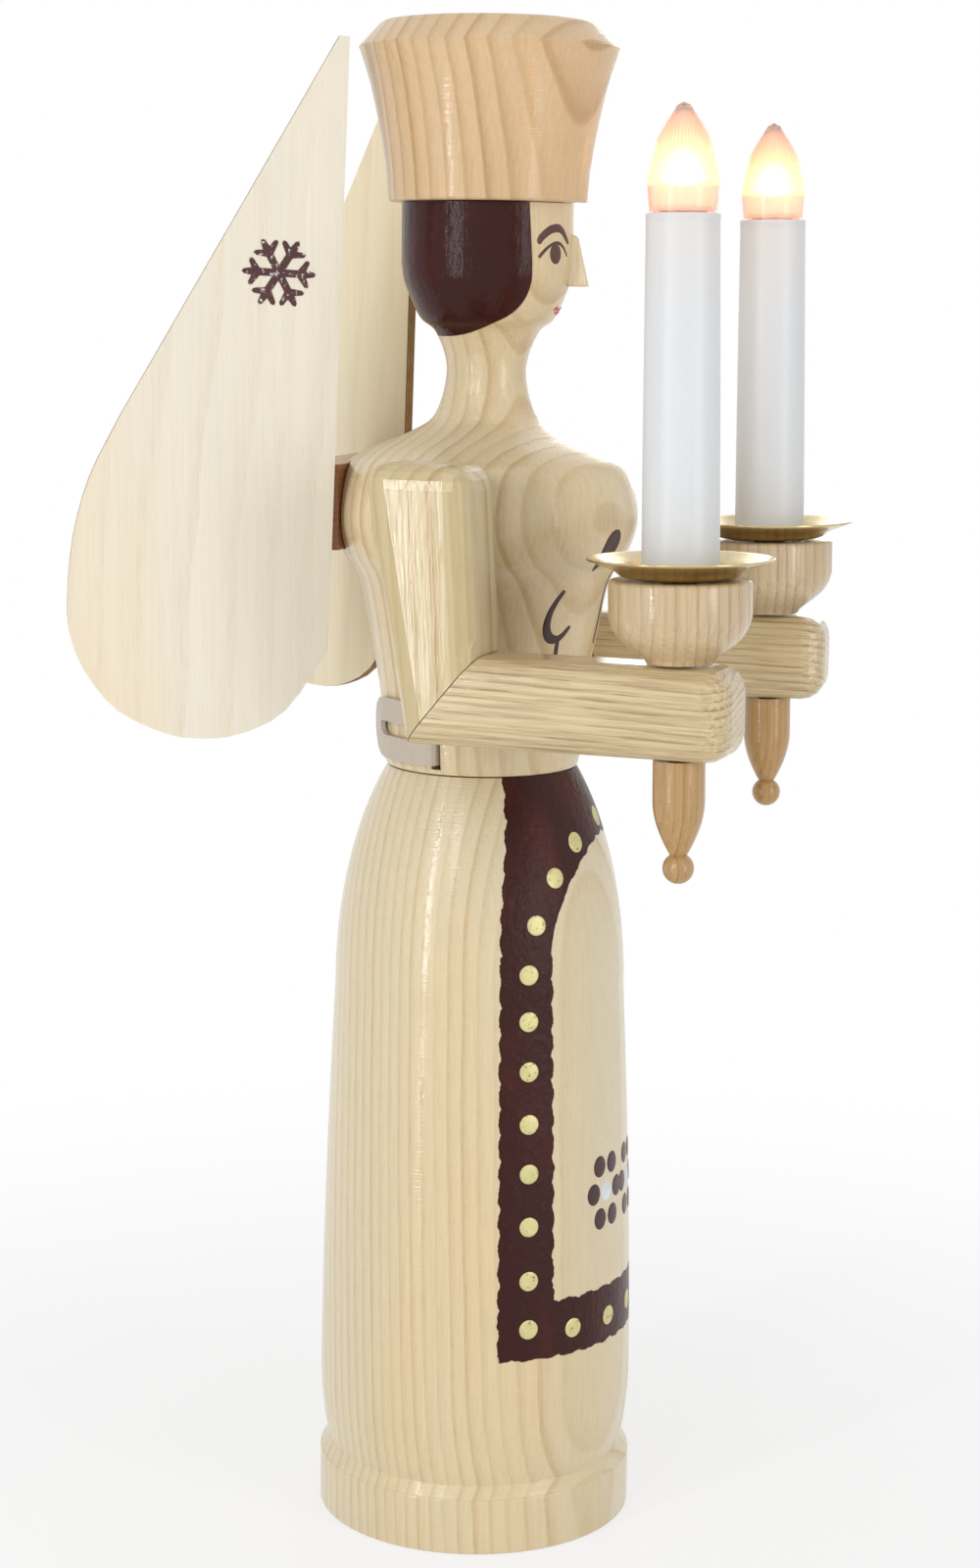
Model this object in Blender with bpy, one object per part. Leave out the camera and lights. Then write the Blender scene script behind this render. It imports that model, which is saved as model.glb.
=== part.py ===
"""Light-up angel: a turned wooden figure with plywood wings that holds an electric candle in each hand.

Metres, +Z up. The figure stands on z = 0 and faces -Y, so its right hand is at -X.
"""

from math import atan2, cos, pi, radians, sin, sqrt, tan

import bmesh
import bpy
from mathutils import Matrix, Vector

FIT = 0.0003  # glue line, and clearance round a dowel or a spigot

# Skirt
WAIST_Z = 0.2477
WAIST_R = 0.0304
FOOT_R = 0.0514
FOOT_H = 0.0182
GROOVE_R = 0.0486
GROOVE_H = 0.0108
HEM_R = 0.0512
SHOULDER_SKIRT_Z = 0.176  # where the straight side ends and the rounded top begins
SHOULDER_SKIRT_R = 0.0470
EDGE_R = 0.0012
FOOT_EDGE_R = 0.0006

# Channel for the leads
CHANNEL_R = 0.0065
CHANNEL_FLOOR = 0.016
CHANNEL_RISE = 0.012  # how far the drilling goes on above the waist
INLET_R = 0.0035
INLET_Z = 0.021

# Torso with head
TORSO_BASE_R = 0.0313
RIB_R = 0.0348
RIB_RISE = 0.035
BREAST_R = 0.0400
BREAST_RISE = 0.0595
CHEST_R = 0.0486
CHEST_RISE = 0.0805
SHOULDER_R = 0.0377
SHOULDER_RISE = 0.1004
NECK_FOOT_R = 0.0159
NECK_FOOT_RISE = 0.1122
NECK_R = 0.0126
NECK_RISE = 0.126
CHIN_R = 0.0213
CHIN_RISE = 0.142
HEAD_R = 0.0271
HEAD_RISE = 0.1585
CROWN_RISE = 0.1770
SPIGOT_R = 0.0130
SPIGOT_H = 0.0145
CROWN_SPIGOT_R = 0.0110
CROWN_SPIGOT_H = 0.0115

# Hat
HAT_R = 0.0313
HAT_WAIST_R = 0.0339
HAT_WAIST_H = 0.0212
HAT_RIM_R = 0.0408
HAT_RIM_H = 0.0469
HAT_TOP_R = 0.0335
HAT_H = 0.0547

# Nose
FACE_TURN = radians(5)  # the head was glued on turned a little to the figure's left
NOSE_W = 0.0076
NOSE_RISE = 0.1518  # its flat underside above the waist
NOSE_H = 0.0158
NOSE_TOP_OUT = 0.0014
NOSE_TIP_OUT = 0.0066

# Arms
ARM_SPLAY = radians(4.3)
LEFT_ARM_LIFT = 0.0017  # the left arm was glued on a little higher than the right one
ARM_W = 0.0280
ARM_EDGE_R = 0.0075
FLAT_DEPTH = 0.0024  # of the flats turned away from the chest for the arms
ARM_TOP_RISE = 0.0996
UPPER_TOP_FRONT = 0.0172
UPPER_TOP_BACK = 0.0172
ELBOW_FRONT = 0.0204
ELBOW_BACK = 0.0026  # the back of the elbow lies this far behind the shoulder's middle
FOREARM_BOTTOM_RISE = 0.0160
FOREARM_H = 0.0275
CANDLE_REACH = 0.0800  # from the shoulder's middle to the candle's axis
RIGHT_HAND_END = 0.0175  # each hand's end beyond the candle's axis
LEFT_HAND_END = 0.0196
SHOULDER_DOWEL_R = 0.0040
SHOULDER_DOWEL_HALF = 0.0120
SHOULDER_DOWEL_RISE = 0.0800
ELBOW_DOWEL_R = 0.0025
ELBOW_DOWEL_HALF = 0.0080
ELBOW_DOWEL_OUT = 0.0060

# Candle, from the hand up
CANDLE_LEAN = radians(0.9)  # back towards the figure, about the underside of the hand
LEAD_BORE_R = 0.0048
CUP_FOOT_R = 0.0098
CUP_WAIST_R = 0.0172
CUP_WAIST_H = 0.0070
CUP_R = 0.0210
CUP_SIDE_H = 0.0142
CUP_H = 0.0248
PIPE_R = 0.0052
PIPE_BORE_R = 0.0042
PAN_FLAT_R = 0.0145
PAN_BEND_R = 0.0200
PAN_BEND_H = 0.0026
PAN_R = 0.0275
PAN_H = 0.0061
PAN_T = 0.0007
SLEEVE_FOOT_R = 0.0114
SLEEVE_TOP_R = 0.01075
SLEEVE_WALL = 0.0012
SLEEVE_H = 0.1030
HOLDER_R = 0.0084
HOLDER_H = 0.0300
HOLDER_DEPTH = 0.0230  # of the threaded well that takes the lamp's cap
HOLDER_DROP = 0.0030  # of the holder's rim below the top of the sleeve

# Ribbed lamp
CAP_R = 0.0068
CAP_H = 0.0220
CAP_COLLAR_R = 0.0084
CAP_COLLAR_H = 0.0012
BULB_FOOT_R = 0.0097
BULB_R = 0.0102
BULB_WIDE_H = 0.0090
BULB_MIDDLE_R = 0.0071
BULB_MIDDLE_H = 0.0212
BULB_TIP_R = 0.0019
BULB_TIP_H = 0.0296
BULB_H = 0.0306
BULB_WALL = 0.0009
BULB_RIBS = 14
BULB_RIB_DEPTH = 0.0005
FILAMENT_WIRE_R = 0.0005
FILAMENT_HALF_W = 0.0024
FILAMENT_H = 0.0150

# Turned drop under the hand
FINIAL_R = 0.00775
FINIAL_STRAIGHT = 0.0120
FINIAL_NECK_R = 0.0025
FINIAL_TAPER = 0.0164
FINIAL_BALL_R = 0.0047
FINIAL_SPIGOT_R = 0.0028
FINIAL_SPIGOT_H = 0.0060

# Wings and their bracket
BRACKET_RISE = 0.0699
BRACKET_H = 0.0266
BRACKET_Y = 0.0380
BRACKET_DEPTH = 0.0170
BRACKET_HALF_W = 0.0325
WING_ANGLE = radians(64)  # of each wing away from the plane of the shoulders
WING_T = 0.0036
WING_RISE = 0.0553  # the middle of the round lower lobe above the waist
LEFT_WING_LIFT = 0.0038  # the left wing was glued on higher than the right one, and further forward
LEFT_WING_FORWARD = 0.0015
WING_LOBE = [  # the sawn edge from the foot of the inner edge to the start of the straight slope
    (0.0034, -0.0161),
    (0.0168, -0.0351),
    (0.0310, -0.0423),
    (0.0422, -0.0436),
    (0.0538, -0.0420),
    (0.0688, -0.0345),
    (0.0783, -0.0230),
    (0.0830, -0.0115),
    (0.0838, 0.0000),
    (0.0820, 0.0186),
    (0.0768, 0.0372),
    (0.0674, 0.0558),
]
WING_TIP = [(0.0004, 0.1703), (-0.0026, 0.1701)]

# Flat two-core lead
LEAD_W = 0.0075
LEAD_T = 0.0015
LEAD_SLOT_ANGLE = radians(101)  # from the front towards the arm
LEAD_TURN_ANGLE = radians(139)
LEAD_LEAVE_ANGLE = radians(113)
LEAD_LOW_RISE = 0.0073
LEAD_HIGH_RISE = 0.0195
LEAD_LANE = 0.0019  # each lead lies this far to its own side of the channel's middle
LEAD_BEND_R = 0.0086
LEAD_FOLD_R = 0.0020
JOINT_H = 0.0240
JOINT_RISE = 0.0070  # above the middle of the inlet

BIG_SIDES = 36
MEDIUM_SIDES = 24
SMALL_SIDES = 16

RIGHT, LEFT = -1, 1
SIDE_NAMES = {RIGHT: "right", LEFT: "left"}

WOOD_PALE = (0.66, 0.51, 0.33)
WOOD_WARM = (0.60, 0.42, 0.23)
WOOD_BROWN = (0.36, 0.20, 0.09)
BRASS = (0.60, 0.42, 0.16)
CANDLE_WHITE = (0.78, 0.79, 0.80)
LAMP_GLOW = (1.0, 0.80, 0.50)


def clear_scene():
    for obj in list(bpy.data.objects):
        bpy.data.objects.remove(obj)


def paint(obj, colour, roughness=0.45, metallic=0.0):
    material = bpy.data.materials.new(obj.name)
    material.use_nodes = True
    shader = material.node_tree.nodes["Principled BSDF"]
    shader.inputs["Base Color"].default_value = (*colour, 1.0)
    shader.inputs["Roughness"].default_value = roughness
    shader.inputs["Metallic"].default_value = metallic
    obj.data.materials.append(material)


def add_mesh(name, bm, place=None):
    """An object made from a bmesh, shaded smooth apart from its sharp edges."""
    bmesh.ops.recalc_face_normals(bm, faces=bm.faces)
    mesh = bpy.data.meshes.new(name)
    bm.to_mesh(mesh)
    bm.free()
    mesh.shade_smooth()
    mesh.set_sharp_from_angle(angle=radians(35))
    obj = bpy.data.objects.new(name, mesh)
    if place is not None:
        obj.matrix_world = place
    bpy.context.scene.collection.objects.link(obj)
    return obj


def curve_through(points, steps=2):
    """Points along the smooth curve through stations, each a tuple of numbers."""
    ends = [2 * Vector(points[0]) - Vector(points[1])]
    ends += [Vector(p) for p in points]
    ends.append(2 * Vector(points[-1]) - Vector(points[-2]))
    curve = []
    for before, start, stop, after in zip(ends, ends[1:], ends[2:], ends[3:]):
        for step in range(steps):
            t = step / steps
            pull = (stop - before) * t + (2 * before - 5 * start + 4 * stop - after) * t**2
            pull += (3 * start - before - 3 * stop + after) * t**3
            curve.append(tuple(start + pull / 2))
    return curve + [tuple(points[-1])]


def rounded_edge(r, z, size, start, stop, steps=3):
    """A quarter round on a turned edge, about a centre at (r, z), between two angles in degrees."""
    angles = [radians(start + (stop - start) * i / steps) for i in range(steps + 1)]
    return [(r + size * cos(a), z + size * sin(a)) for a in angles]


def turned(name, outline, sides, place=None, ring=False):
    """A solid of revolution about Z. A ring's outline is a loop; any other starts and ends on the axis."""
    bm = bmesh.new()
    verts = [bm.verts.new((r, 0, z)) for r, z in outline]
    edges = [bm.edges.new(pair) for pair in zip(verts, verts[1:])]
    if ring:
        edges.append(bm.edges.new((verts[-1], verts[0])))
    bmesh.ops.spin(
        bm, geom=verts + edges, cent=(0, 0, 0), axis=(0, 0, 1), angle=2 * pi, steps=sides, use_merge=True
    )
    bmesh.ops.remove_doubles(bm, verts=bm.verts, dist=1e-6)
    return add_mesh(name, bm, place)


def rod(name, radius, low, high, sides=SMALL_SIDES, place=None):
    return turned(name, [(0, low), (radius, low), (radius, high), (0, high)], sides, place)


def extruded(name, outline, thickness, place=None):
    """A flat outline in the XY plane, extruded along +Z."""
    bm = bmesh.new()
    face = bm.faces.new([bm.verts.new((x, y, 0)) for x, y in outline])
    top = bmesh.ops.extrude_face_region(bm, geom=[face])["geom"]
    lift = [v for v in top if isinstance(v, bmesh.types.BMVert)]
    bmesh.ops.translate(bm, verts=lift, vec=(0, 0, thickness))
    return add_mesh(name, bm, place)


def block(name, low, high, place=None):
    """A plain box between two corners."""
    outline = [(low[0], low[1]), (high[0], low[1]), (high[0], high[1]), (low[0], high[1])]
    lift = Matrix.Translation((0, 0, low[2]))
    return extruded(name, outline, high[2] - low[2], lift if place is None else place @ lift)


def cut(obj, *cutters):
    """Takes each cutter out of the object."""
    for cutter in cutters:
        cutter.hide_render = True
        cutter.display_type = "WIRE"
        modifier = obj.modifiers.new(cutter.name, "BOOLEAN")
        modifier.operation = "DIFFERENCE"
        modifier.solver = "EXACT"
        modifier.object = cutter


def along(start, stop):
    """The placement that lays +Z on the line from start to stop, with its origin at start."""
    direction = Vector(stop) - Vector(start)
    return Matrix.Translation(start) @ direction.to_track_quat("Z", "Y").to_matrix().to_4x4()


def drill(name, radius, start, stop, place=None, sides=SMALL_SIDES):
    length = (Vector(stop) - Vector(start)).length
    where = along(start, stop)
    return rod(name, radius, 0, length, sides, where if place is None else place @ where)


def arm_frame(side):
    """The arm's own frame: origin at the shoulder's middle at waist height, -Y along the forearm."""
    shoulder_x = CHEST_R - FLAT_DEPTH + FIT + ARM_W / 2
    lift = LEFT_ARM_LIFT if side == LEFT else 0
    turn = Matrix.Rotation(side * ARM_SPLAY, 4, "Z")
    return Matrix.Translation((side * shoulder_x, 0, WAIST_Z + lift)) @ turn


def candle_frame(side):
    """Origin at the top of the hand, +Z up along the leaning candle."""
    pivot = Matrix.Translation((0, -CANDLE_REACH, FOREARM_BOTTOM_RISE))
    lean = Matrix.Rotation(-CANDLE_LEAN, 4, "X")
    return arm_frame(side) @ pivot @ lean @ Matrix.Translation((0, 0, FOREARM_H))


def tilt_gap(radius):
    """A glue line wide enough for the edge of a leaning foot of this radius."""
    return FIT + radius * tan(CANDLE_LEAN)


def hand_top():
    return FOREARM_BOTTOM_RISE + FOREARM_H


def lead_height():
    return FOREARM_BOTTOM_RISE + FOREARM_H / 2


def chest_stations():
    """Radius and height above the waist of the torso's turning template, from the waist to the head."""
    return [
        (TORSO_BASE_R, FIT + EDGE_R * 2),
        (TORSO_BASE_R * 0.6 + RIB_R * 0.4, RIB_RISE * 0.6),
        (RIB_R, RIB_RISE),
        (BREAST_R, BREAST_RISE),
        (BREAST_R * 0.35 + CHEST_R * 0.65, BREAST_RISE * 0.55 + CHEST_RISE * 0.45),
        (CHEST_R, CHEST_RISE),
        (CHEST_R * 0.68 + SHOULDER_R * 0.32, CHEST_RISE * 0.3 + SHOULDER_RISE * 0.7),
        (SHOULDER_R, SHOULDER_RISE),
        (SHOULDER_R * 0.35 + NECK_FOOT_R * 0.65, SHOULDER_RISE * 0.5 + NECK_FOOT_RISE * 0.5),
        (NECK_FOOT_R, NECK_FOOT_RISE),
        (NECK_R, NECK_RISE),
        (NECK_R * 0.6 + CHIN_R * 0.4, CHIN_RISE * 0.7 + NECK_RISE * 0.3),
        (CHIN_R, CHIN_RISE),
        (CHIN_R * 0.2 + HEAD_R * 0.8, CHIN_RISE * 0.38 + HEAD_RISE * 0.62),
        (HEAD_R, HEAD_RISE),
    ]


def torso_radius(rise):
    """The torso's radius at a height above the waist."""
    outline = curve_through(chest_stations())
    for (r0, z0), (r1, z1) in zip(outline, outline[1:]):
        if z0 <= rise <= z1:
            return r0 + (r1 - r0) * (rise - z0) / (z1 - z0)
    return TORSO_BASE_R


def make_skirt():
    groove_top = FOOT_H + GROOVE_H
    hem_z = groove_top + (HEM_R - GROOVE_R) * 4
    outline = [(0, 0), (FOOT_R - FOOT_EDGE_R, 0)]
    outline += rounded_edge(FOOT_R - FOOT_EDGE_R, FOOT_EDGE_R, FOOT_EDGE_R, -90, 0)[1:]
    outline += [(FOOT_R, FOOT_H - FOOT_EDGE_R), (FOOT_R - FOOT_EDGE_R, FOOT_H)]
    outline += curve_through(
        [
            (GROOVE_R, FOOT_H + GROOVE_H * 0.35),
            (GROOVE_R * 0.5 + HEM_R * 0.5, groove_top),
            (HEM_R - EDGE_R * 0.2, hem_z),
        ]
    )
    straight = SHOULDER_SKIRT_Z - hem_z
    for step in range(1, 6):
        t = step / 6
        outline.append((HEM_R - (HEM_R - SHOULDER_SKIRT_R) * t**1.7, hem_z + straight * t))
    waist_share = WAIST_R / SHOULDER_SKIRT_R
    reach = (WAIST_Z - SHOULDER_SKIRT_Z) / sqrt(1 - waist_share**2)
    last = atan2(sqrt(1 - waist_share**2), waist_share)
    for step in range(12):
        angle = last * step / 11
        outline.append((SHOULDER_SKIRT_R * cos(angle), SHOULDER_SKIRT_Z + reach * sin(angle)))
    outline.append((0, WAIST_Z))
    skirt = turned("skirt", outline, BIG_SIDES)
    channel = rod("skirt_channel", CHANNEL_R, CHANNEL_FLOOR, WAIST_Z + FIT)
    socket = rod("skirt_socket", SPIGOT_R + FIT, WAIST_Z - SPIGOT_H - FIT, WAIST_Z + FIT, MEDIUM_SIDES)
    inlet = drill("skirt_inlet", INLET_R, (0, 0, INLET_Z), (0, FOOT_R + CHANNEL_R, INLET_Z), sides=16)
    cut(skirt, socket, channel, inlet)
    paint(skirt, WOOD_PALE, 0.35)


def lead_slot(side):
    """The slot in the torso that the lead comes out of, between two upright walls."""
    turn = Matrix.Rotation(side * LEAD_SLOT_ANGLE, 4, "Z")
    half_h = LEAD_W / 2 + FIT * 5
    half_t = LEAD_T / 2 + FIT * 3
    low = (-half_t, -TORSO_BASE_R * 1.3, LEAD_LOW_RISE - half_h)
    high = (half_t, 0, LEAD_LOW_RISE + half_h)
    name = f"slot_{SIDE_NAMES[side]}"
    return block(name, low, high, Matrix.Translation((0, 0, WAIST_Z)) @ turn)


def make_torso():
    outline = [(0, -SPIGOT_H), (SPIGOT_R, -SPIGOT_H), (SPIGOT_R, FIT), (TORSO_BASE_R - EDGE_R, FIT)]
    outline += curve_through(chest_stations())
    outline += [
        (HEAD_R, CROWN_RISE),
        (CROWN_SPIGOT_R, CROWN_RISE),
        (CROWN_SPIGOT_R, CROWN_RISE + CROWN_SPIGOT_H),
        (0, CROWN_RISE + CROWN_SPIGOT_H),
    ]
    torso = turned("torso", outline, BIG_SIDES, Matrix.Translation((0, 0, WAIST_Z)))
    channel = rod("torso_channel", CHANNEL_R, WAIST_Z - SPIGOT_H * 2, WAIST_Z + CHANNEL_RISE)
    reach = CHEST_R * 1.2
    top = WAIST_Z + BRACKET_RISE + BRACKET_H + FIT
    notch = block("notch", (-reach, BRACKET_Y - FIT, top - BRACKET_H - 2 * FIT), (reach, reach, top))
    cut(torso, channel, notch)
    for side in (RIGHT, LEFT):
        arm = arm_frame(side)
        face = -side * (ARM_W / 2 + FIT)
        xs = sorted((face, side * ARM_W))
        flat = block(
            f"flat_{SIDE_NAMES[side]}", (xs[0], -ARM_W, BREAST_RISE), (xs[1], ARM_W, CROWN_RISE), arm
        )
        hole = drill(
            f"torso_dowel_hole_{SIDE_NAMES[side]}",
            SHOULDER_DOWEL_R + FIT,
            (0, 0, SHOULDER_DOWEL_RISE),
            (face - side * (SHOULDER_DOWEL_HALF + FIT), 0, SHOULDER_DOWEL_RISE),
            arm,
        )
        cut(torso, flat, hole, lead_slot(side))
    paint(torso, WOOD_PALE, 0.35)


def make_hat():
    outline = [(0, 0), (HAT_R - EDGE_R, 0)]
    outline += rounded_edge(HAT_R - EDGE_R, EDGE_R, EDGE_R, -90, 0)[1:]
    outline += curve_through(
        [
            (HAT_R * 0.75 + HAT_WAIST_R * 0.25, HAT_WAIST_H * 0.45),
            (HAT_WAIST_R, HAT_WAIST_H),
            (HAT_WAIST_R * 0.55 + HAT_RIM_R * 0.45, HAT_WAIST_H * 0.45 + HAT_RIM_H * 0.55),
            (HAT_RIM_R, HAT_RIM_H),
        ]
    )
    outline += [(HAT_TOP_R, HAT_H), (0, HAT_H)]
    seat = Matrix.Translation((0, 0, WAIST_Z + CROWN_RISE + FIT))
    hat = turned("hat", outline, BIG_SIDES, seat)
    socket = rod("hat_socket", CROWN_SPIGOT_R + FIT, -FIT, CROWN_SPIGOT_H + FIT, MEDIUM_SIDES, seat)
    cut(hat, socket)
    paint(hat, WOOD_PALE, 0.5)


def make_nose():
    """A wedge with a flat underside, hollowed at the back to sit on the round head."""
    bm = bmesh.new()
    inside = HEAD_R * 0.8
    sides = []
    for x in (-NOSE_W / 2, NOSE_W / 2):
        sides.append(
            [
                bm.verts.new((x, -inside, 0)),
                bm.verts.new((x, -HEAD_R - NOSE_TIP_OUT, 0)),
                bm.verts.new((x * 0.8, -HEAD_R - NOSE_TOP_OUT, NOSE_H)),
                bm.verts.new((x, -inside, NOSE_H)),
            ]
        )
    bm.faces.new(sides[0])
    bm.faces.new(reversed(sides[1]))
    for i in range(4):
        j = (i + 1) % 4
        bm.faces.new((sides[0][i], sides[0][j], sides[1][j], sides[1][i]))
    seat = Matrix.Translation((0, 0, WAIST_Z + NOSE_RISE)) @ Matrix.Rotation(FACE_TURN, 4, "Z")
    nose = add_mesh("nose", bm, seat)
    cut(nose, rod("nose_seat", HEAD_R + FIT, -NOSE_H, NOSE_H * 2, 96, seat))
    bevel = nose.modifiers.new("soft_edges", "BEVEL")
    bevel.width = NOSE_W * 0.09
    bevel.segments = 2
    bevel.angle_limit = radians(50)
    paint(nose, WOOD_WARM, 0.3)


def mitre_plane(shift):
    """A point and a normal of the elbow's mitre, moved towards the hand by this distance."""
    low = Vector((0, ELBOW_BACK, FOREARM_BOTTOM_RISE))
    high = Vector((0, -ELBOW_FRONT, hand_top()))
    normal = (high - low).cross(Vector((1, 0, 0))).normalized()
    if normal.y > 0:
        normal.negate()
    return (low + high) / 2 + normal * shift, normal


def rounded_bar(outline, keep_front):
    """A bar with this side view in the YZ plane, its edges rounded, cut off square to the mitre."""
    bm = bmesh.new()
    half = ARM_W / 2
    near = [bm.verts.new((-half, y, z)) for y, z in outline]
    far = [bm.verts.new((half, y, z)) for y, z in outline]
    bm.faces.new(near)
    bm.faces.new(reversed(far))
    for i, start in enumerate(near):
        j = (i + 1) % len(near)
        bm.faces.new((start, far[i], far[j], near[j]))
    bmesh.ops.recalc_face_normals(bm, faces=bm.faces)
    bmesh.ops.bevel(
        bm, geom=bm.edges[:], offset=ARM_EDGE_R, segments=4, profile=0.5, affect="EDGES", clamp_overlap=True
    )
    point, normal = mitre_plane(FIT / 2 if keep_front else -FIT / 2)
    sliced = bmesh.ops.bisect_plane(
        bm,
        geom=bm.verts[:] + bm.edges[:] + bm.faces[:],
        plane_co=point,
        plane_no=normal,
        clear_inner=keep_front,
        clear_outer=not keep_front,
    )
    rim = [e for e in sliced["geom_cut"] if isinstance(e, bmesh.types.BMEdge)]
    bmesh.ops.edgeloop_fill(bm, edges=rim)
    return bm


def lead_entry(side):
    """Where the lead passes through the inner face of the forearm, and where it joins the long bore."""
    start = (-side * ARM_W / 2, -ELBOW_FRONT * 0.85, lead_height() - LEAD_T)
    stop = (0, -ELBOW_FRONT * 1.35, lead_height())
    return Vector(start), Vector(stop)


def make_arm(side):
    name = SIDE_NAMES[side]
    arm = arm_frame(side)
    top, middle = hand_top(), lead_height()
    upper_outline = [
        (-UPPER_TOP_FRONT, ARM_TOP_RISE),
        (-ELBOW_FRONT, top),
        (-ELBOW_FRONT - ARM_EDGE_R * 0.3, FOREARM_BOTTOM_RISE - ARM_W),
        (ELBOW_BACK - ARM_EDGE_R * 0.9, FOREARM_BOTTOM_RISE - ARM_W),
        (ELBOW_BACK, FOREARM_BOTTOM_RISE),
        (UPPER_TOP_BACK, ARM_TOP_RISE),
    ]
    upper = add_mesh(f"upper_arm_{name}", rounded_bar(upper_outline, False), arm)
    reach = CANDLE_REACH + (RIGHT_HAND_END if side == RIGHT else LEFT_HAND_END)
    forearm_outline = [
        (ELBOW_BACK + ARM_W, top),
        (-reach, top),
        (-reach, FOREARM_BOTTOM_RISE),
        (ELBOW_BACK + ARM_W, FOREARM_BOTTOM_RISE),
    ]
    forearm = add_mesh(f"forearm_{name}", rounded_bar(forearm_outline, True), arm)

    dowel_z = SHOULDER_DOWEL_RISE
    face = -side * (ARM_W / 2)
    inner, outer = face - side * SHOULDER_DOWEL_HALF, face + side * SHOULDER_DOWEL_HALF
    hole = drill(
        f"arm_dowel_hole_{name}",
        SHOULDER_DOWEL_R + FIT,
        (inner, 0, dowel_z),
        (outer + side * FIT, 0, dowel_z),
        arm,
    )
    peg = drill(f"shoulder_dowel_{name}", SHOULDER_DOWEL_R, (inner, 0, dowel_z), (outer, 0, dowel_z), arm)
    paint(peg, WOOD_PALE, 0.6)

    point, normal = mitre_plane(0)
    point = point + Vector((side * ELBOW_DOWEL_OUT, 0, 0))
    elbow_peg = drill(
        f"elbow_dowel_{name}",
        ELBOW_DOWEL_R,
        point - normal * ELBOW_DOWEL_HALF,
        point + normal * ELBOW_DOWEL_HALF,
        arm,
    )
    paint(elbow_peg, WOOD_PALE, 0.6)
    elbow_hole = drill(
        f"elbow_dowel_hole_{name}",
        ELBOW_DOWEL_R + FIT,
        point - normal * (ELBOW_DOWEL_HALF + FIT),
        point + normal * (ELBOW_DOWEL_HALF + FIT),
        arm,
    )
    cut(upper, hole, elbow_hole)

    entry, joint = lead_entry(side)
    slant = (joint - entry).normalized()
    entry_bore = drill(
        f"entry_bore_{name}", LEAD_BORE_R, entry - slant * ARM_EDGE_R, joint + slant * LEAD_BORE_R / 2, arm
    )
    long_bore = drill(f"long_bore_{name}", LEAD_BORE_R, joint, (0, -CANDLE_REACH, middle), arm)
    candle = candle_frame(side)
    floor = -FOREARM_H / 2 - LEAD_BORE_R
    candle_bore = drill(f"candle_bore_{name}", PIPE_R + FIT, (0, 0, floor), (0, 0, ARM_W), candle)
    finial_hole = drill(
        f"finial_hole_{name}",
        FINIAL_SPIGOT_R + FIT,
        (0, 0, -FOREARM_H - ARM_W),
        (0, 0, -FOREARM_H - tilt_gap(FINIAL_R) + FINIAL_SPIGOT_H + FIT),
        candle,
    )
    cut(forearm, elbow_hole, entry_bore, long_bore, candle_bore, finial_hole)
    paint(upper, WOOD_WARM, 0.4)
    paint(forearm, WOOD_WARM, 0.4)


def make_finial(side):
    """The turned drop: a straight top, a pointed taper, a thin neck and a ball."""
    seat = -FOREARM_H - tilt_gap(FINIAL_R)
    outline = [(0, seat + FINIAL_SPIGOT_H), (FINIAL_SPIGOT_R, seat + FINIAL_SPIGOT_H)]
    outline += [(FINIAL_SPIGOT_R, seat), (FINIAL_R, seat), (FINIAL_R, seat - FINIAL_STRAIGHT)]
    for step in range(1, 7):
        t = step / 6
        r = FINIAL_NECK_R + (FINIAL_R - FINIAL_NECK_R) * cos(t * pi / 2) ** 0.9
        outline.append((r, seat - FINIAL_STRAIGHT - FINIAL_TAPER * t))
    ball_z = seat - FINIAL_STRAIGHT - FINIAL_TAPER - sqrt(FINIAL_BALL_R**2 - FINIAL_NECK_R**2)
    first = atan2(FINIAL_NECK_R, sqrt(FINIAL_BALL_R**2 - FINIAL_NECK_R**2))
    for step in range(1, 9):
        angle = first + (pi - first) * step / 8
        outline.append((FINIAL_BALL_R * sin(angle), ball_z + FINIAL_BALL_R * cos(angle)))
    outline[-1] = (0, outline[-1][1])
    finial = turned(f"hand_finial_{SIDE_NAMES[side]}", outline[::-1], SMALL_SIDES, candle_frame(side))
    paint(finial, WOOD_BROWN, 0.4)


def make_cup(side):
    bore = PIPE_R + FIT
    foot = tilt_gap(CUP_FOOT_R)
    outline = [(bore, foot), (CUP_FOOT_R, foot)]
    outline += curve_through(
        [
            (CUP_FOOT_R + EDGE_R * 0.5, foot + EDGE_R),
            (CUP_WAIST_R, CUP_WAIST_H),
            (CUP_WAIST_R * 0.3 + CUP_R * 0.7, CUP_WAIST_H * 0.5 + CUP_SIDE_H * 0.5),
            (CUP_R, CUP_SIDE_H),
        ]
    )
    outline += rounded_edge(CUP_R - EDGE_R, CUP_H - EDGE_R, EDGE_R, 0, 90)
    outline += [(bore, CUP_H)]
    cup = turned(f"candle_cup_{SIDE_NAMES[side]}", outline, MEDIUM_SIDES, candle_frame(side), ring=True)
    paint(cup, WOOD_BROWN, 0.35)


def pan_floor():
    return CUP_H + FIT + PAN_T


def make_pan(side):
    """The pressed dish under the candle, with a flat middle and a raised rim."""
    below = curve_through(
        [
            (PAN_FLAT_R, 0),
            (PAN_FLAT_R * 0.45 + PAN_BEND_R * 0.55, PAN_BEND_H * 0.3),
            (PAN_BEND_R, PAN_BEND_H),
            (PAN_R, PAN_H - PAN_T),
        ]
    )
    hole = PIPE_R + FIT
    above = [(r - PAN_T * 0.4, z + PAN_T) for r, z in below[:-1]] + [(PAN_R, PAN_H)]
    outline = [(hole, 0)] + below + above[::-1] + [(hole, PAN_T)]
    seat = candle_frame(side) @ Matrix.Translation((0, 0, CUP_H + FIT))
    pan = turned(f"drip_pan_{SIDE_NAMES[side]}", outline, MEDIUM_SIDES, seat, ring=True)
    paint(pan, BRASS, 0.25, 1.0)


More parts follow.
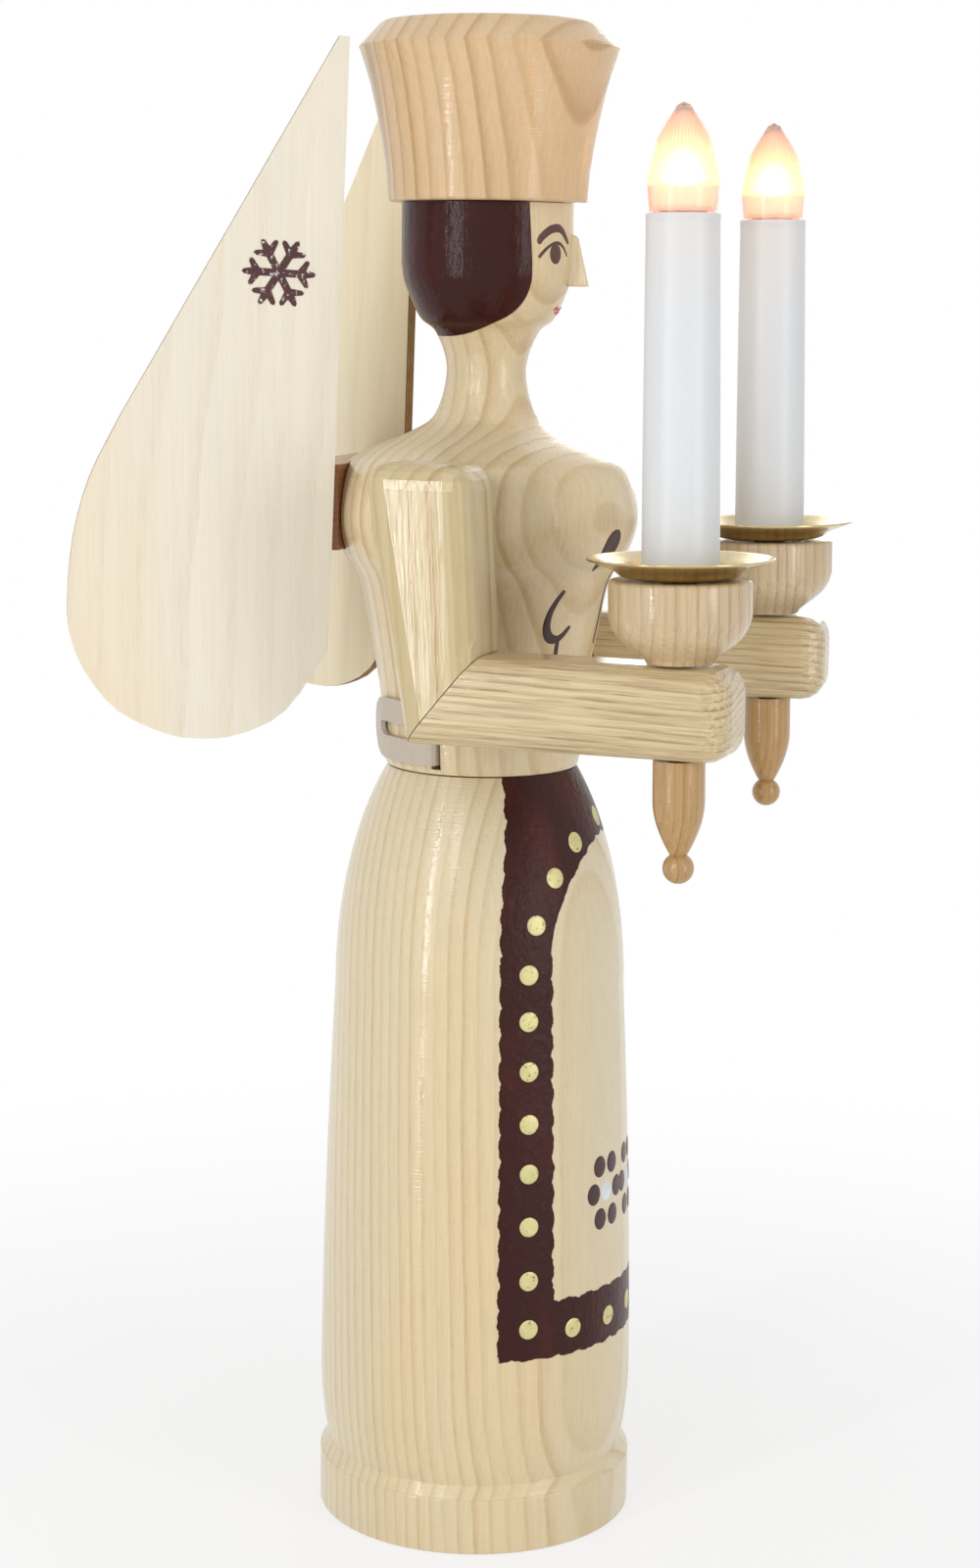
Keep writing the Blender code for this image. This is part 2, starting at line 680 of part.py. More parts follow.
def make_sleeve(side):
    outer = [(SLEEVE_FOOT_R, 0)]
    top_r = SLEEVE_TOP_R - SLEEVE_WALL
    edge = SLEEVE_WALL * 0.7
    outer += rounded_edge(SLEEVE_TOP_R - edge, SLEEVE_H - edge, edge, 0, 90)
    outline = outer + [(top_r, SLEEVE_H), (SLEEVE_FOOT_R - SLEEVE_WALL, 0)]
    seat = candle_frame(side) @ Matrix.Translation((0, 0, pan_floor() + FIT))
    sleeve = turned(f"candle_sleeve_{SIDE_NAMES[side]}", outline, MEDIUM_SIDES, seat, ring=True)
    paint(sleeve, CANDLE_WHITE, 0.4)


def sleeve_top():
    return pan_floor() + FIT + SLEEVE_H


def holder_bottom():
    return sleeve_top() - HOLDER_DROP - HOLDER_H


def make_lampholder(side):
    """The screw holder on its threaded pipe, which stands in the cup."""
    well_r = CAP_R + FIT
    rim = sleeve_top() - HOLDER_DROP
    outline = [
        (PIPE_BORE_R, FIT * 4),
        (PIPE_R, FIT * 4),
        (PIPE_R, holder_bottom()),
        (HOLDER_R, holder_bottom()),
        (HOLDER_R, rim),
        (well_r, rim),
        (well_r, rim - HOLDER_DEPTH),
        (PIPE_BORE_R, rim - HOLDER_DEPTH),
    ]
    holder = turned(f"lampholder_{SIDE_NAMES[side]}", outline, SMALL_SIDES, candle_frame(side), ring=True)
    paint(holder, CANDLE_WHITE, 0.5)


def make_lamp(side):
    name = SIDE_NAMES[side]
    seat = candle_frame(side) @ Matrix.Translation((0, 0, sleeve_top() + FIT))

    collar_low = FIT
    drop = CAP_H
    cap_outline = [
        (0, collar_low - drop),
        (CAP_R * 0.55, collar_low - drop),
        (CAP_R, collar_low - drop + CAP_R * 0.5),
        (CAP_R, collar_low),
        (CAP_COLLAR_R, collar_low),
        (CAP_COLLAR_R, collar_low + CAP_COLLAR_H),
        (0, collar_low + CAP_COLLAR_H),
    ]
    cap = turned(f"bulb_cap_{name}", cap_outline, SMALL_SIDES, seat)
    paint(cap, BRASS, 0.3, 1.0)

    stations = [
        (BULB_FOOT_R, 0),
        (BULB_R, BULB_WIDE_H),
        (BULB_R * 0.45 + BULB_MIDDLE_R * 0.55, BULB_WIDE_H * 0.4 + BULB_MIDDLE_H * 0.6),
        (BULB_MIDDLE_R, BULB_MIDDLE_H),
        (BULB_TIP_R, BULB_TIP_H),
    ]
    skin = curve_through(stations)
    envelope = ribbed_shell(f"bulb_envelope_{name}", skin, seat)
    paint(envelope, LAMP_GLOW, 0.1)

    floor = collar_low + CAP_COLLAR_H + FIT
    curve = bpy.data.curves.new(f"filament_{name}", "CURVE")
    curve.dimensions = "3D"
    curve.bevel_depth = FILAMENT_WIRE_R
    curve.bevel_resolution = 1
    curve.use_fill_caps = True
    arch = [(-FILAMENT_HALF_W, floor)]
    for step in range(7):
        angle = pi - pi * step / 6
        height = FILAMENT_H - FILAMENT_HALF_W + FILAMENT_HALF_W * sin(angle)
        arch.append((FILAMENT_HALF_W * cos(angle), height))
    arch.append((FILAMENT_HALF_W, floor))
    spline = curve.splines.new("POLY")
    spline.points.add(len(arch) - 1)
    for point, (x, z) in zip(spline.points, arch):
        point.co = (x, 0, z, 1)
    filament = bpy.data.objects.new(f"filament_{name}", curve)
    filament.matrix_world = seat
    bpy.context.scene.collection.objects.link(filament)
    paint(filament, LAMP_GLOW, 0.4)


def ribbed_shell(name, skin, place):
    """The lamp's flame: fine upright ribs outside, smooth inside, open at the foot."""
    bm = bmesh.new()
    sides = BULB_RIBS * 2
    widest = max(r for r, _ in skin)

    def add_ring(r, z, depth):
        ring = []
        for i in range(sides):
            angle = 2 * pi * i / sides
            radius = r - depth * (i % 2)
            ring.append(bm.verts.new((radius * cos(angle), radius * sin(angle), z)))
        return ring

    rings = [add_ring(r, z, BULB_RIB_DEPTH * r / widest) for r, z in skin]
    inner = [(r - BULB_WALL, z) for r, z in skin if r > BULB_WALL * 4]
    inside = [add_ring(r, z, 0) for r, z in inner]
    outer_tip = bm.verts.new((0, 0, BULB_H))
    inner_tip = bm.verts.new((0, 0, inner[-1][1] + BULB_WALL))
    for wall in (rings, inside):
        for low, high in zip(wall, wall[1:]):
            for i in range(sides):
                j = (i + 1) % sides
                bm.faces.new((low[i], low[j], high[j], high[i]))
    for i in range(sides):
        j = (i + 1) % sides
        bm.faces.new((rings[-1][i], rings[-1][j], outer_tip))
        bm.faces.new((inside[-1][i], inside[-1][j], inner_tip))
        bm.faces.new((rings[0][i], rings[0][j], inside[0][j], inside[0][i]))
    return add_mesh(name, bm, place)


def wing_outline():
    """The wing's edge in its own plane: along it from the bracket, and up from the middle of its lobe."""
    return curve_through(WING_LOBE, 3) + WING_TIP


def make_wing(side):
    """A plywood wing, glued to the slanting end of the bracket."""
    along_wing = Vector((side * cos(WING_ANGLE), sin(WING_ANGLE), 0))
    outwards = Vector((side * sin(WING_ANGLE), -cos(WING_ANGLE), 0))
    corner = Vector((side * BRACKET_HALF_W, BRACKET_Y, WAIST_Z + WING_RISE))
    corner += outwards * FIT
    if side == LEFT:
        corner += Vector((0, 0, LEFT_WING_LIFT)) - along_wing * LEFT_WING_FORWARD
    place = Matrix.Identity(4)
    for column, axis in enumerate((along_wing, Vector((0, 0, 1)), outwards)):
        place.col[column] = (*axis, 0)
    place.col[3] = (*corner, 1)
    wing = extruded(f"wing_{SIDE_NAMES[side]}", wing_outline(), WING_T, place)
    paint(wing, WOOD_PALE, 0.55)


def make_bracket():
    flare = BRACKET_DEPTH / tan(WING_ANGLE)
    wide = BRACKET_HALF_W + flare
    back = BRACKET_Y + BRACKET_DEPTH
    outline = [(-BRACKET_HALF_W, BRACKET_Y), (BRACKET_HALF_W, BRACKET_Y), (wide, back), (-wide, back)]
    seat = Matrix.Translation((0, 0, WAIST_Z + BRACKET_RISE))
    bracket = extruded("wing_bracket", outline, BRACKET_H, seat)
    paint(bracket, WOOD_BROWN, 0.5)


def around(side, angle, radius, rise):
    """A point round the torso's axis: an angle from the front towards the arm, and a height above the waist."""
    return Vector((side * radius * sin(angle), -radius * cos(angle), WAIST_Z + rise))


def lead_route(side):
    """The lead from the foot of the skirt to the lampholder: points, each with the way its width lies."""
    up = Vector((0, 0, 1))
    outwards = around(side, LEAD_SLOT_ANGLE, 1, 0) - around(side, LEAD_SLOT_ANGLE, 0, 0)
    sideways = up.cross(outwards) * side
    axis = Vector((0, 0, WAIST_Z + LEAD_LOW_RISE))
    route = []

    low = INLET_Z + JOINT_RISE + JOINT_H + FIT
    bend_start = WAIST_Z + LEAD_LOW_RISE - LEAD_BEND_R
    lane = sideways * -side * LEAD_LANE
    for step in range(5):
        route.append((lane + up * (low + (bend_start - low) * step / 4), outwards))
    for step in range(1, 7):
        angle = pi / 2 * step / 6
        shift = min(1, (2 - 2 * step / 6) ** 2)
        centre = axis + outwards * LEAD_BEND_R - up * LEAD_BEND_R
        spot = centre + (up * sin(angle) - outwards * cos(angle)) * LEAD_BEND_R
        route.append((spot + lane * shift, outwards * cos(angle) + up * -sin(angle)))

    near_r = torso_radius(LEAD_LOW_RISE + LEAD_W / 2) + FIT + LEAD_T / 2
    far_r = torso_radius(LEAD_HIGH_RISE + LEAD_W / 2) + FIT + LEAD_T / 2
    backwards = around(side, LEAD_SLOT_ANGLE + pi / 2, 1, 0) - around(side, 0, 0, 0)
    route.append((axis + outwards * (near_r - LEAD_FOLD_R * 3), -up))
    for step in range(4):
        angle = pi / 2 * step / 3
        spot = axis + outwards * (near_r - LEAD_FOLD_R * (1 - sin(angle)))
        route.append((spot + backwards * LEAD_FOLD_R * (1 - cos(angle)), -up))

    fold_end = LEAD_SLOT_ANGLE + LEAD_FOLD_R / near_r
    for step in range(1, 7):
        angle = fold_end + (LEAD_TURN_ANGLE - fold_end) * step / 6
        route.append((around(side, angle, near_r, LEAD_LOW_RISE), -up))
    turn_r = (LEAD_HIGH_RISE - LEAD_LOW_RISE) / 2
    for step in range(1, 9):
        angle = pi * step / 8
        radius = near_r + (far_r - near_r) * step / 8
        round_angle = LEAD_TURN_ANGLE + turn_r * sin(angle) / near_r
        spot = around(side, round_angle, radius, LEAD_LOW_RISE + turn_r * (1 - cos(angle)))
        back = around(side, round_angle + pi / 2, 1, 0) - around(side, 0, 0, 0)
        route.append((spot, back * sin(angle) - up * cos(angle)))
    for step in range(1, 4):
        angle = LEAD_TURN_ANGLE + (LEAD_LEAVE_ANGLE - LEAD_TURN_ANGLE) * step / 3
        route.append((around(side, angle, far_r, LEAD_HIGH_RISE), up))

    arm = arm_frame(side)
    across = arm.to_3x3() @ Vector((side, 0, 0))
    entry, joint = lead_entry(side)
    slant = (joint - entry).normalized() * LEAD_W
    inside = [(entry - slant * 0.6, up), (entry + slant * 0.4, up), (joint - slant * 0.4, up)]
    inside += [(joint - Vector((0, LEAD_W * 0.4, 0)), up)]
    run = CANDLE_REACH + joint.y
    for step in range(5):
        share = step / 4
        spot = Vector((0, joint.y - run * (0.25 + 0.5 * share), joint.z))
        inside.append((spot, up * cos(share * pi / 2) + across * sin(share * pi / 2)))
    rise_r = LEAD_BORE_R
    for step in range(5):
        angle = pi / 2 * step / 4
        y = rise_r - CANDLE_REACH - rise_r * sin(angle)
        inside.append((Vector((0, y, joint.z + rise_r * (1 - cos(angle)))), across))
    route += [(arm @ spot, width) for spot, width in inside]
    top = sleeve_top() - HOLDER_DROP - HOLDER_DEPTH
    candle = candle_frame(side)
    return route + [(candle @ Vector((0, 0, top * step / 3)), across) for step in range(4)]


def make_lead(side):
    """The flat two-core lead: from the joint in the foot, round the waist and through the arm to the lamp."""
    route = lead_route(side)
    bm = bmesh.new()
    rings = []
    for i, (spot, width) in enumerate(route):
        before, after = route[max(i - 1, 0)][0], route[min(i + 1, len(route) - 1)][0]
        forwards = (after - before).normalized()
        flat = forwards.cross(width).normalized() * LEAD_T / 2
        wide = flat.cross(forwards).normalized() * LEAD_W / 2
        corners = (wide + flat, wide - flat, -wide - flat, -wide + flat)
        rings.append([bm.verts.new(spot + corner) for corner in corners])
    for low, high in zip(rings, rings[1:]):
        for i in range(4):
            j = (i + 1) % 4
            bm.faces.new((low[i], low[j], high[j], high[i]))
    bm.faces.new(rings[0])
    bm.faces.new(rings[-1])
    lead = add_mesh(f"lead_{SIDE_NAMES[side]}", bm)
    paint(lead, CANDLE_WHITE, 0.5)


def make_lead_joint():
    low = INLET_Z + JOINT_RISE
    joint = rod("lead_joint", CHANNEL_R - FIT, low, low + JOINT_H)
    paint(joint, CANDLE_WHITE, 0.5)


clear_scene()
make_skirt()
make_torso()
make_hat()
make_nose()
make_bracket()
make_lead_joint()
for each_side in (RIGHT, LEFT):
    make_arm(each_side)
    make_finial(each_side)
    make_cup(each_side)
    make_pan(each_side)
    make_sleeve(each_side)
    make_lampholder(each_side)
    make_lamp(each_side)
    make_wing(each_side)
    make_lead(each_side)
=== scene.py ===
"""Light-up angel figure: turned and painted wood, brass pans, lit lamps, and the studio round it."""

from math import atan2, cos, degrees, pi, radians, sin, sqrt, tan

import bmesh
import bpy
from mathutils import Matrix, Vector
from mathutils.bvhtree import BVHTree


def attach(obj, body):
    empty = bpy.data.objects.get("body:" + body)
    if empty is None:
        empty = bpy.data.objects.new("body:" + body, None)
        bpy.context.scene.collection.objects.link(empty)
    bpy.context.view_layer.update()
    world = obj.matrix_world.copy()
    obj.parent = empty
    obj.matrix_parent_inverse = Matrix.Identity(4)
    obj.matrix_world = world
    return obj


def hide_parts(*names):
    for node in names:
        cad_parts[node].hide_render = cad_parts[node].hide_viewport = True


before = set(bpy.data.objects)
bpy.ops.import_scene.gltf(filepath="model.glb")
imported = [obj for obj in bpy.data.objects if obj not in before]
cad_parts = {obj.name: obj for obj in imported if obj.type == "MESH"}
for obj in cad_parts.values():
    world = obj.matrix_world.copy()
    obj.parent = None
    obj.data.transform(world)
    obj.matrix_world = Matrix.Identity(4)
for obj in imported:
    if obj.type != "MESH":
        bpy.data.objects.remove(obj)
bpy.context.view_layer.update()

# Camera, in the photograph's frame: X to the right, Y away from the camera
IMAGE_LONG_SIDE = 1600
SENSOR = 36.0
FOCAL_PX = 2983.8
VIEW_DISTANCE = 0.9313
VIEW_HEIGHT = 0.3963
VIEW_PITCH = radians(9.473)
VIEW_ROLL = radians(0.6985)
VIEW_YAW = radians(0.162)
VIEW_SIDE = radians(16.5)  # how far the camera stands forward of the figure's right-hand side

# Sizes shared with the solids, in metres
FIT = 0.0003
EDGE_R = 0.0012
FOOT_EDGE_R = 0.0006
WAIST_Z = 0.2477
WAIST_R = 0.0304
FOOT_R = 0.0514
FOOT_H = 0.0182
GROOVE_R = 0.0486
GROOVE_H = 0.0108
HEM_R = 0.0512
SKIRT_BEND_Z = 0.176
SKIRT_BEND_R = 0.0470
INLET_R = 0.0035
INLET_Z = 0.021
TORSO_BASE_R = 0.0313
HEAD_R = 0.0271
CROWN_RISE = 0.1770
SPIGOT_R = 0.0130
SPIGOT_H = 0.0145
CROWN_SPIGOT_R = 0.0110
CROWN_SPIGOT_H = 0.0115
BREAST_RISE = 0.0595
CHEST_R = 0.0486
HAT_R = 0.0313
HAT_WAIST_R = 0.0339
HAT_WAIST_H = 0.0212
HAT_RIM_R = 0.0408
HAT_RIM_H = 0.0469
HAT_TOP_R = 0.0335
HAT_H = 0.0547
ARM_SPLAY = radians(4.3)
LEFT_ARM_LIFT = 0.0017
ARM_W = 0.0280
FLAT_DEPTH = 0.0024
FOREARM_BOTTOM_RISE = 0.0160
FOREARM_H = 0.0275
CANDLE_REACH = 0.0800
CANDLE_LEAN = radians(0.9)
CUP_FOOT_R = 0.0098
CUP_WAIST_R = 0.0172
CUP_WAIST_H = 0.0070
CUP_R = 0.0210
CUP_SIDE_H = 0.0142
CUP_H = 0.0248
PIPE_R = 0.0052
PAN_FLAT_R = 0.0145
PAN_BEND_R = 0.0200
PAN_BEND_H = 0.0026
PAN_R = 0.0275
PAN_H = 0.0061
PAN_T = 0.0007
SLEEVE_FOOT_R = 0.0114
SLEEVE_TOP_R = 0.01075
SLEEVE_WALL = 0.0012
SLEEVE_H = 0.1030
BULB_FOOT_R = 0.0097
BULB_R = 0.0102
BULB_WIDE_H = 0.0090
BULB_MIDDLE_R = 0.0071
BULB_MIDDLE_H = 0.0212
BULB_TIP_R = 0.0019
BULB_TIP_H = 0.0296
BULB_H = 0.0306
BULB_WALL = 0.0009
FINIAL_R = 0.00775
FINIAL_STRAIGHT = 0.0120
FINIAL_NECK_R = 0.0025
FINIAL_TAPER = 0.0164
FINIAL_BALL_R = 0.0047
FINIAL_SPIGOT_R = 0.0028
FINIAL_SPIGOT_H = 0.0060
BRACKET_RISE = 0.0699
BRACKET_H = 0.0266
BRACKET_Y = 0.0380
BRACKET_HALF_W = 0.0325
WING_ANGLE = radians(64)
WING_T = 0.0036
WING_RISE = 0.0553
LEFT_WING_LIFT = 0.0038
LEFT_WING_FORWARD = 0.0015
LEAD_W = 0.0075
LEAD_T = 0.0015
LEAD_SLOT_ANGLE = radians(101)
LEAD_LOW_RISE = 0.0073
CHANNEL_R = 0.0065
CHANNEL_FOOT_Z = 0.0160
CHANNEL_TOP_Z = 0.2597

# Heights that a cutter reaches to, past the face that it opens
BELOW_WAIST_Z = 0.2
ABOVE_WAIST_Z = 0.3
BELOW_HAT_Z = 0.4

# Forms that the solids lack or have coarser
RIBS = 44
RIB_DEPTH = 0.00042
RIBS_START = 0.0072  # the plain collar below the ribs
RIBS_RUN_IN = 0.0006
NOSE_RISE = 0.1518
NOSE_H = 0.0158
NOSE_HALF_W = 0.0036
NOSE_TIP_OUT = 0.0053
NOSE_TOP_OUT = 0.0016
NOSE_BACK_R = 0.0254
NOSE_EDGE_R = 0.0009
STAR_OUT = 0.0189
STAR_RISE = 0.0995
STAR_TURN = radians(3)
STAR_R = 0.0113
STAR_ARM_HALF = 0.00115
STAR_FORK_AT = 0.0064
STAR_FORK_LENGTH = 0.0042
STAR_FORK_HALF = 0.00105
STAR_FORK_ANGLE = radians(58)
FOIL_T = 0.00022

RIGHT, LEFT = -1, 1
SIDE_NAMES = {RIGHT: "right", LEFT: "left"}

LATHE_SIDES = 144
PAN_SIDES = 96
SMALL_SIDES = 72
SOCKET_SIDES = 48
BORE_SIDES = 32
DAB_SIDES = 28
STROKE_STEPS = 10

# Turns of the painted decoration about the axis, from the front towards the figure's left
APRON_TURN = radians(3.5)
CHEST_TURN = radians(2.0)
FACE_TURN = radians(5.0)

PAINT_T = 0.00018
PAINT_EDGE = 0.00012  # half the width over which a brushed edge fades

# The dark border of the apron: its band at the foot, the arch over its plain field, and its scallops
BAND_LOW = 0.0645
BAND_HIGH = 0.0820
ARCH_Z = 0.1900
ARCH_H = 0.0380
BORDER_TURN = radians(68.5)
BORDER_WAIST_TURN = radians(64.0)
FIELD_TURN = radians(48.5)
NARROWING_Z = 0.195
SCALLOP = 0.0081
SCALLOP_H = 0.0008
SCALLOP_R = 0.0508

# Half sizes of the dabs of paint, where they lie, and where the hair ends
DOT_R = 0.0032
FLOWER_Z = 0.1138
PETAL = (0.00325, 0.0036)
HEART = (0.0031, 0.0033)
HAIRLINE_Z = 0.401
HAIRLINE_TURN = radians(47.6)
HAIRLINE_SLOPE = radians(3.3) / 0.023
EYE_TURN = radians(-23.3)
EYE_Z = 0.4093
EYE = (0.0028, 0.0032)

# Colours, linear
ASH_PALE = (0.740, 0.605, 0.380)
ASH_DARK = (0.520, 0.325, 0.120)
SKIRT_PALE = (0.745, 0.635, 0.425)
SKIRT_DARK = (0.560, 0.380, 0.160)
DARK_PAINT = (0.040, 0.0075, 0.0055)
DARK_PAINT_PATCHES_AND_GLINTS = (0.085, 0.014, 0.010)
GOLD_PAINT = (0.66, 0.60, 0.28)
WHITE_PAINT = (0.74, 0.80, 0.82)
FACE_BROWN = (0.085, 0.030, 0.022)
LIP_RED = (0.58, 0.045, 0.050)

WORLD_LIGHT = 0.56
LAMP_AIM_Z = 0.24


# ---- meshes ----


def curve_through(points, steps=6):
    """Points along the smooth curve through stations, each a tuple of numbers."""
    ends = [2 * Vector(points[0]) - Vector(points[1])]
    ends += [Vector(p) for p in points]
    ends.append(2 * Vector(points[-1]) - Vector(points[-2]))
    curve = []
    for before, start, stop, after in zip(ends, ends[1:], ends[2:], ends[3:]):
        for step in range(steps):
            t = step / steps
            pull = (stop - before) * t + (2 * before - 5 * start + 4 * stop - after) * t**2
            pull += (3 * start - before - 3 * stop + after) * t**3
            curve.append(tuple(start + pull / 2))
    return curve + [tuple(points[-1])]


def rounded_edge(r, z, size, start, stop, steps=5):
    """Points on an arc about a middle, from one angle in degrees to another."""
    angles = [radians(start + (stop - start) * i / steps) for i in range(steps + 1)]
    return [(r + size * cos(a), z + size * sin(a)) for a in angles]


def link(obj):
    bpy.context.scene.collection.objects.link(obj)
    return obj


def join_rings(bm, low, high):
    """The wall of faces between two rings of as many points."""
    for i, j in enumerate([*range(1, len(low)), 0]):
        bm.faces.new((low[i], low[j], high[j], high[i]))


def join_tip(bm, ring, tip):
    """The fan of faces from a ring to a point."""
    for i, j in enumerate([*range(1, len(ring)), 0]):
        bm.faces.new((ring[i], ring[j], tip))


def piece(name, bm, place=None, sharp=35):
    """A new object whose mesh lies where the solids do, with its own origin at the frame's."""
    if place is not None:
        bm.transform(place)
    bmesh.ops.recalc_face_normals(bm, faces=bm.faces)
    mesh = bpy.data.meshes.new(name)
    bm.to_mesh(mesh)
    bm.free()
    mesh.shade_smooth()
    mesh.set_sharp_from_angle(angle=radians(sharp))
    return link(bpy.data.objects.new(name, mesh))


def lathe(name, outline, sides=LATHE_SIDES, place=None, ring=False):
    """A solid of revolution about Z. A ring's outline is a loop; any other starts and ends on the axis."""
    bm = bmesh.new()
    verts = [bm.verts.new((r, 0, z)) for r, z in outline]
    edges = [bm.edges.new(pair) for pair in zip(verts, verts[1:])]
    if ring:
        edges.append(bm.edges.new((verts[-1], verts[0])))
    bmesh.ops.spin(
        bm, geom=verts + edges, cent=(0, 0, 0), axis=(0, 0, 1), angle=2 * pi, steps=sides, use_merge=True
    )
    bmesh.ops.remove_doubles(bm, verts=bm.verts, dist=1e-6)
    return piece(name, bm, place)


def bore(name, r, low, high, sides=BORE_SIDES, place=None):
    """A cutter for a round hole about Z between two heights."""
    return lathe(name, [(0, low), (r, low), (r, high), (0, high)], sides, place)


def box(name, low, high, place=None):
    bm = bmesh.new()
    bmesh.ops.create_cube(bm, size=1)
    size = Vector(high) - Vector(low)
    bm.transform(Matrix.Translation((Vector(low) + Vector(high)) / 2) @ Matrix.Diagonal((*size, 1)))
    return piece(name, bm, place)


def carve(obj, cutters):
    """Takes the cutters out of the object's mesh for good."""
    for cutter in cutters:
        modifier = obj.modifiers.new(cutter.name, "BOOLEAN")
        modifier.operation = "DIFFERENCE"
        modifier.solver = "EXACT"
        modifier.object = cutter
    graph = bpy.context.evaluated_depsgraph_get()
    carved = bpy.data.meshes.new_from_object(obj.evaluated_get(graph))
    obj.modifiers.clear()
    obj.data = carved
    carved.set_sharp_from_angle(angle=radians(35))
    for cutter in cutters:
        bpy.data.objects.remove(cutter)


def dress(obj, material, slot, *nodes):
    """Gives a new piece its material (the slot is not used), sets it on the body and lets it stand for its node."""
    obj.data.materials.clear()
    obj.data.materials.append(material)
    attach(obj, "root")
    if nodes:
        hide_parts(*nodes)
    return obj


def dress_node(name, material):
    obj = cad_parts[name]
    for slot in obj.material_slots:
        slot.material = material


# ---- places ----


def arm_frame(side):
    """The arm's own frame: origin at the shoulder's middle at waist height, -Y along the forearm."""
    shoulder_x = CHEST_R - FLAT_DEPTH + FIT + ARM_W / 2
    lift = LEFT_ARM_LIFT if side == LEFT else 0
    turn = Matrix.Rotation(side * ARM_SPLAY, 4, "Z")
    return Matrix.Translation((side * shoulder_x, 0, WAIST_Z + lift)) @ turn


def candle_frame(side, rise=0.0):
    """Origin on the leaning candle's axis, at a distance above the top of the hand."""
    pivot = Matrix.Translation((0, -CANDLE_REACH, FOREARM_BOTTOM_RISE))
    lean = Matrix.Rotation(-CANDLE_LEAN, 4, "X")
    return arm_frame(side) @ pivot @ lean @ Matrix.Translation((0, 0, FOREARM_H + rise))


def tilt_gap(radius):
    """A glue line wide enough for the edge of a leaning foot of this radius."""
    return FIT + radius * tan(CANDLE_LEAN)


def wing_frame(side):
    """X out along the wing, Y up, Z through its thickness to the outer face; origin at its inner edge."""
    along_wing = Vector((side * cos(WING_ANGLE), sin(WING_ANGLE), 0))
    outwards = Vector((side * sin(WING_ANGLE), -cos(WING_ANGLE), 0))
    corner = Vector((side * BRACKET_HALF_W, BRACKET_Y, WAIST_Z + WING_RISE)) + outwards * FIT
    if side == LEFT:
        corner += Vector((0, 0, LEFT_WING_LIFT)) - along_wing * LEFT_WING_FORWARD
    place = Matrix.Identity(4)
    for column, axis in enumerate((along_wing, Vector((0, 0, 1)), outwards)):
        place.col[column] = (*axis, 0)
    place.col[3] = (*corner, 1)
    return place


SLEEVE_SEAT = CUP_H + FIT + PAN_T + FIT
SLEEVE_TOP = SLEEVE_SEAT + SLEEVE_H


# ---- node graphs ----


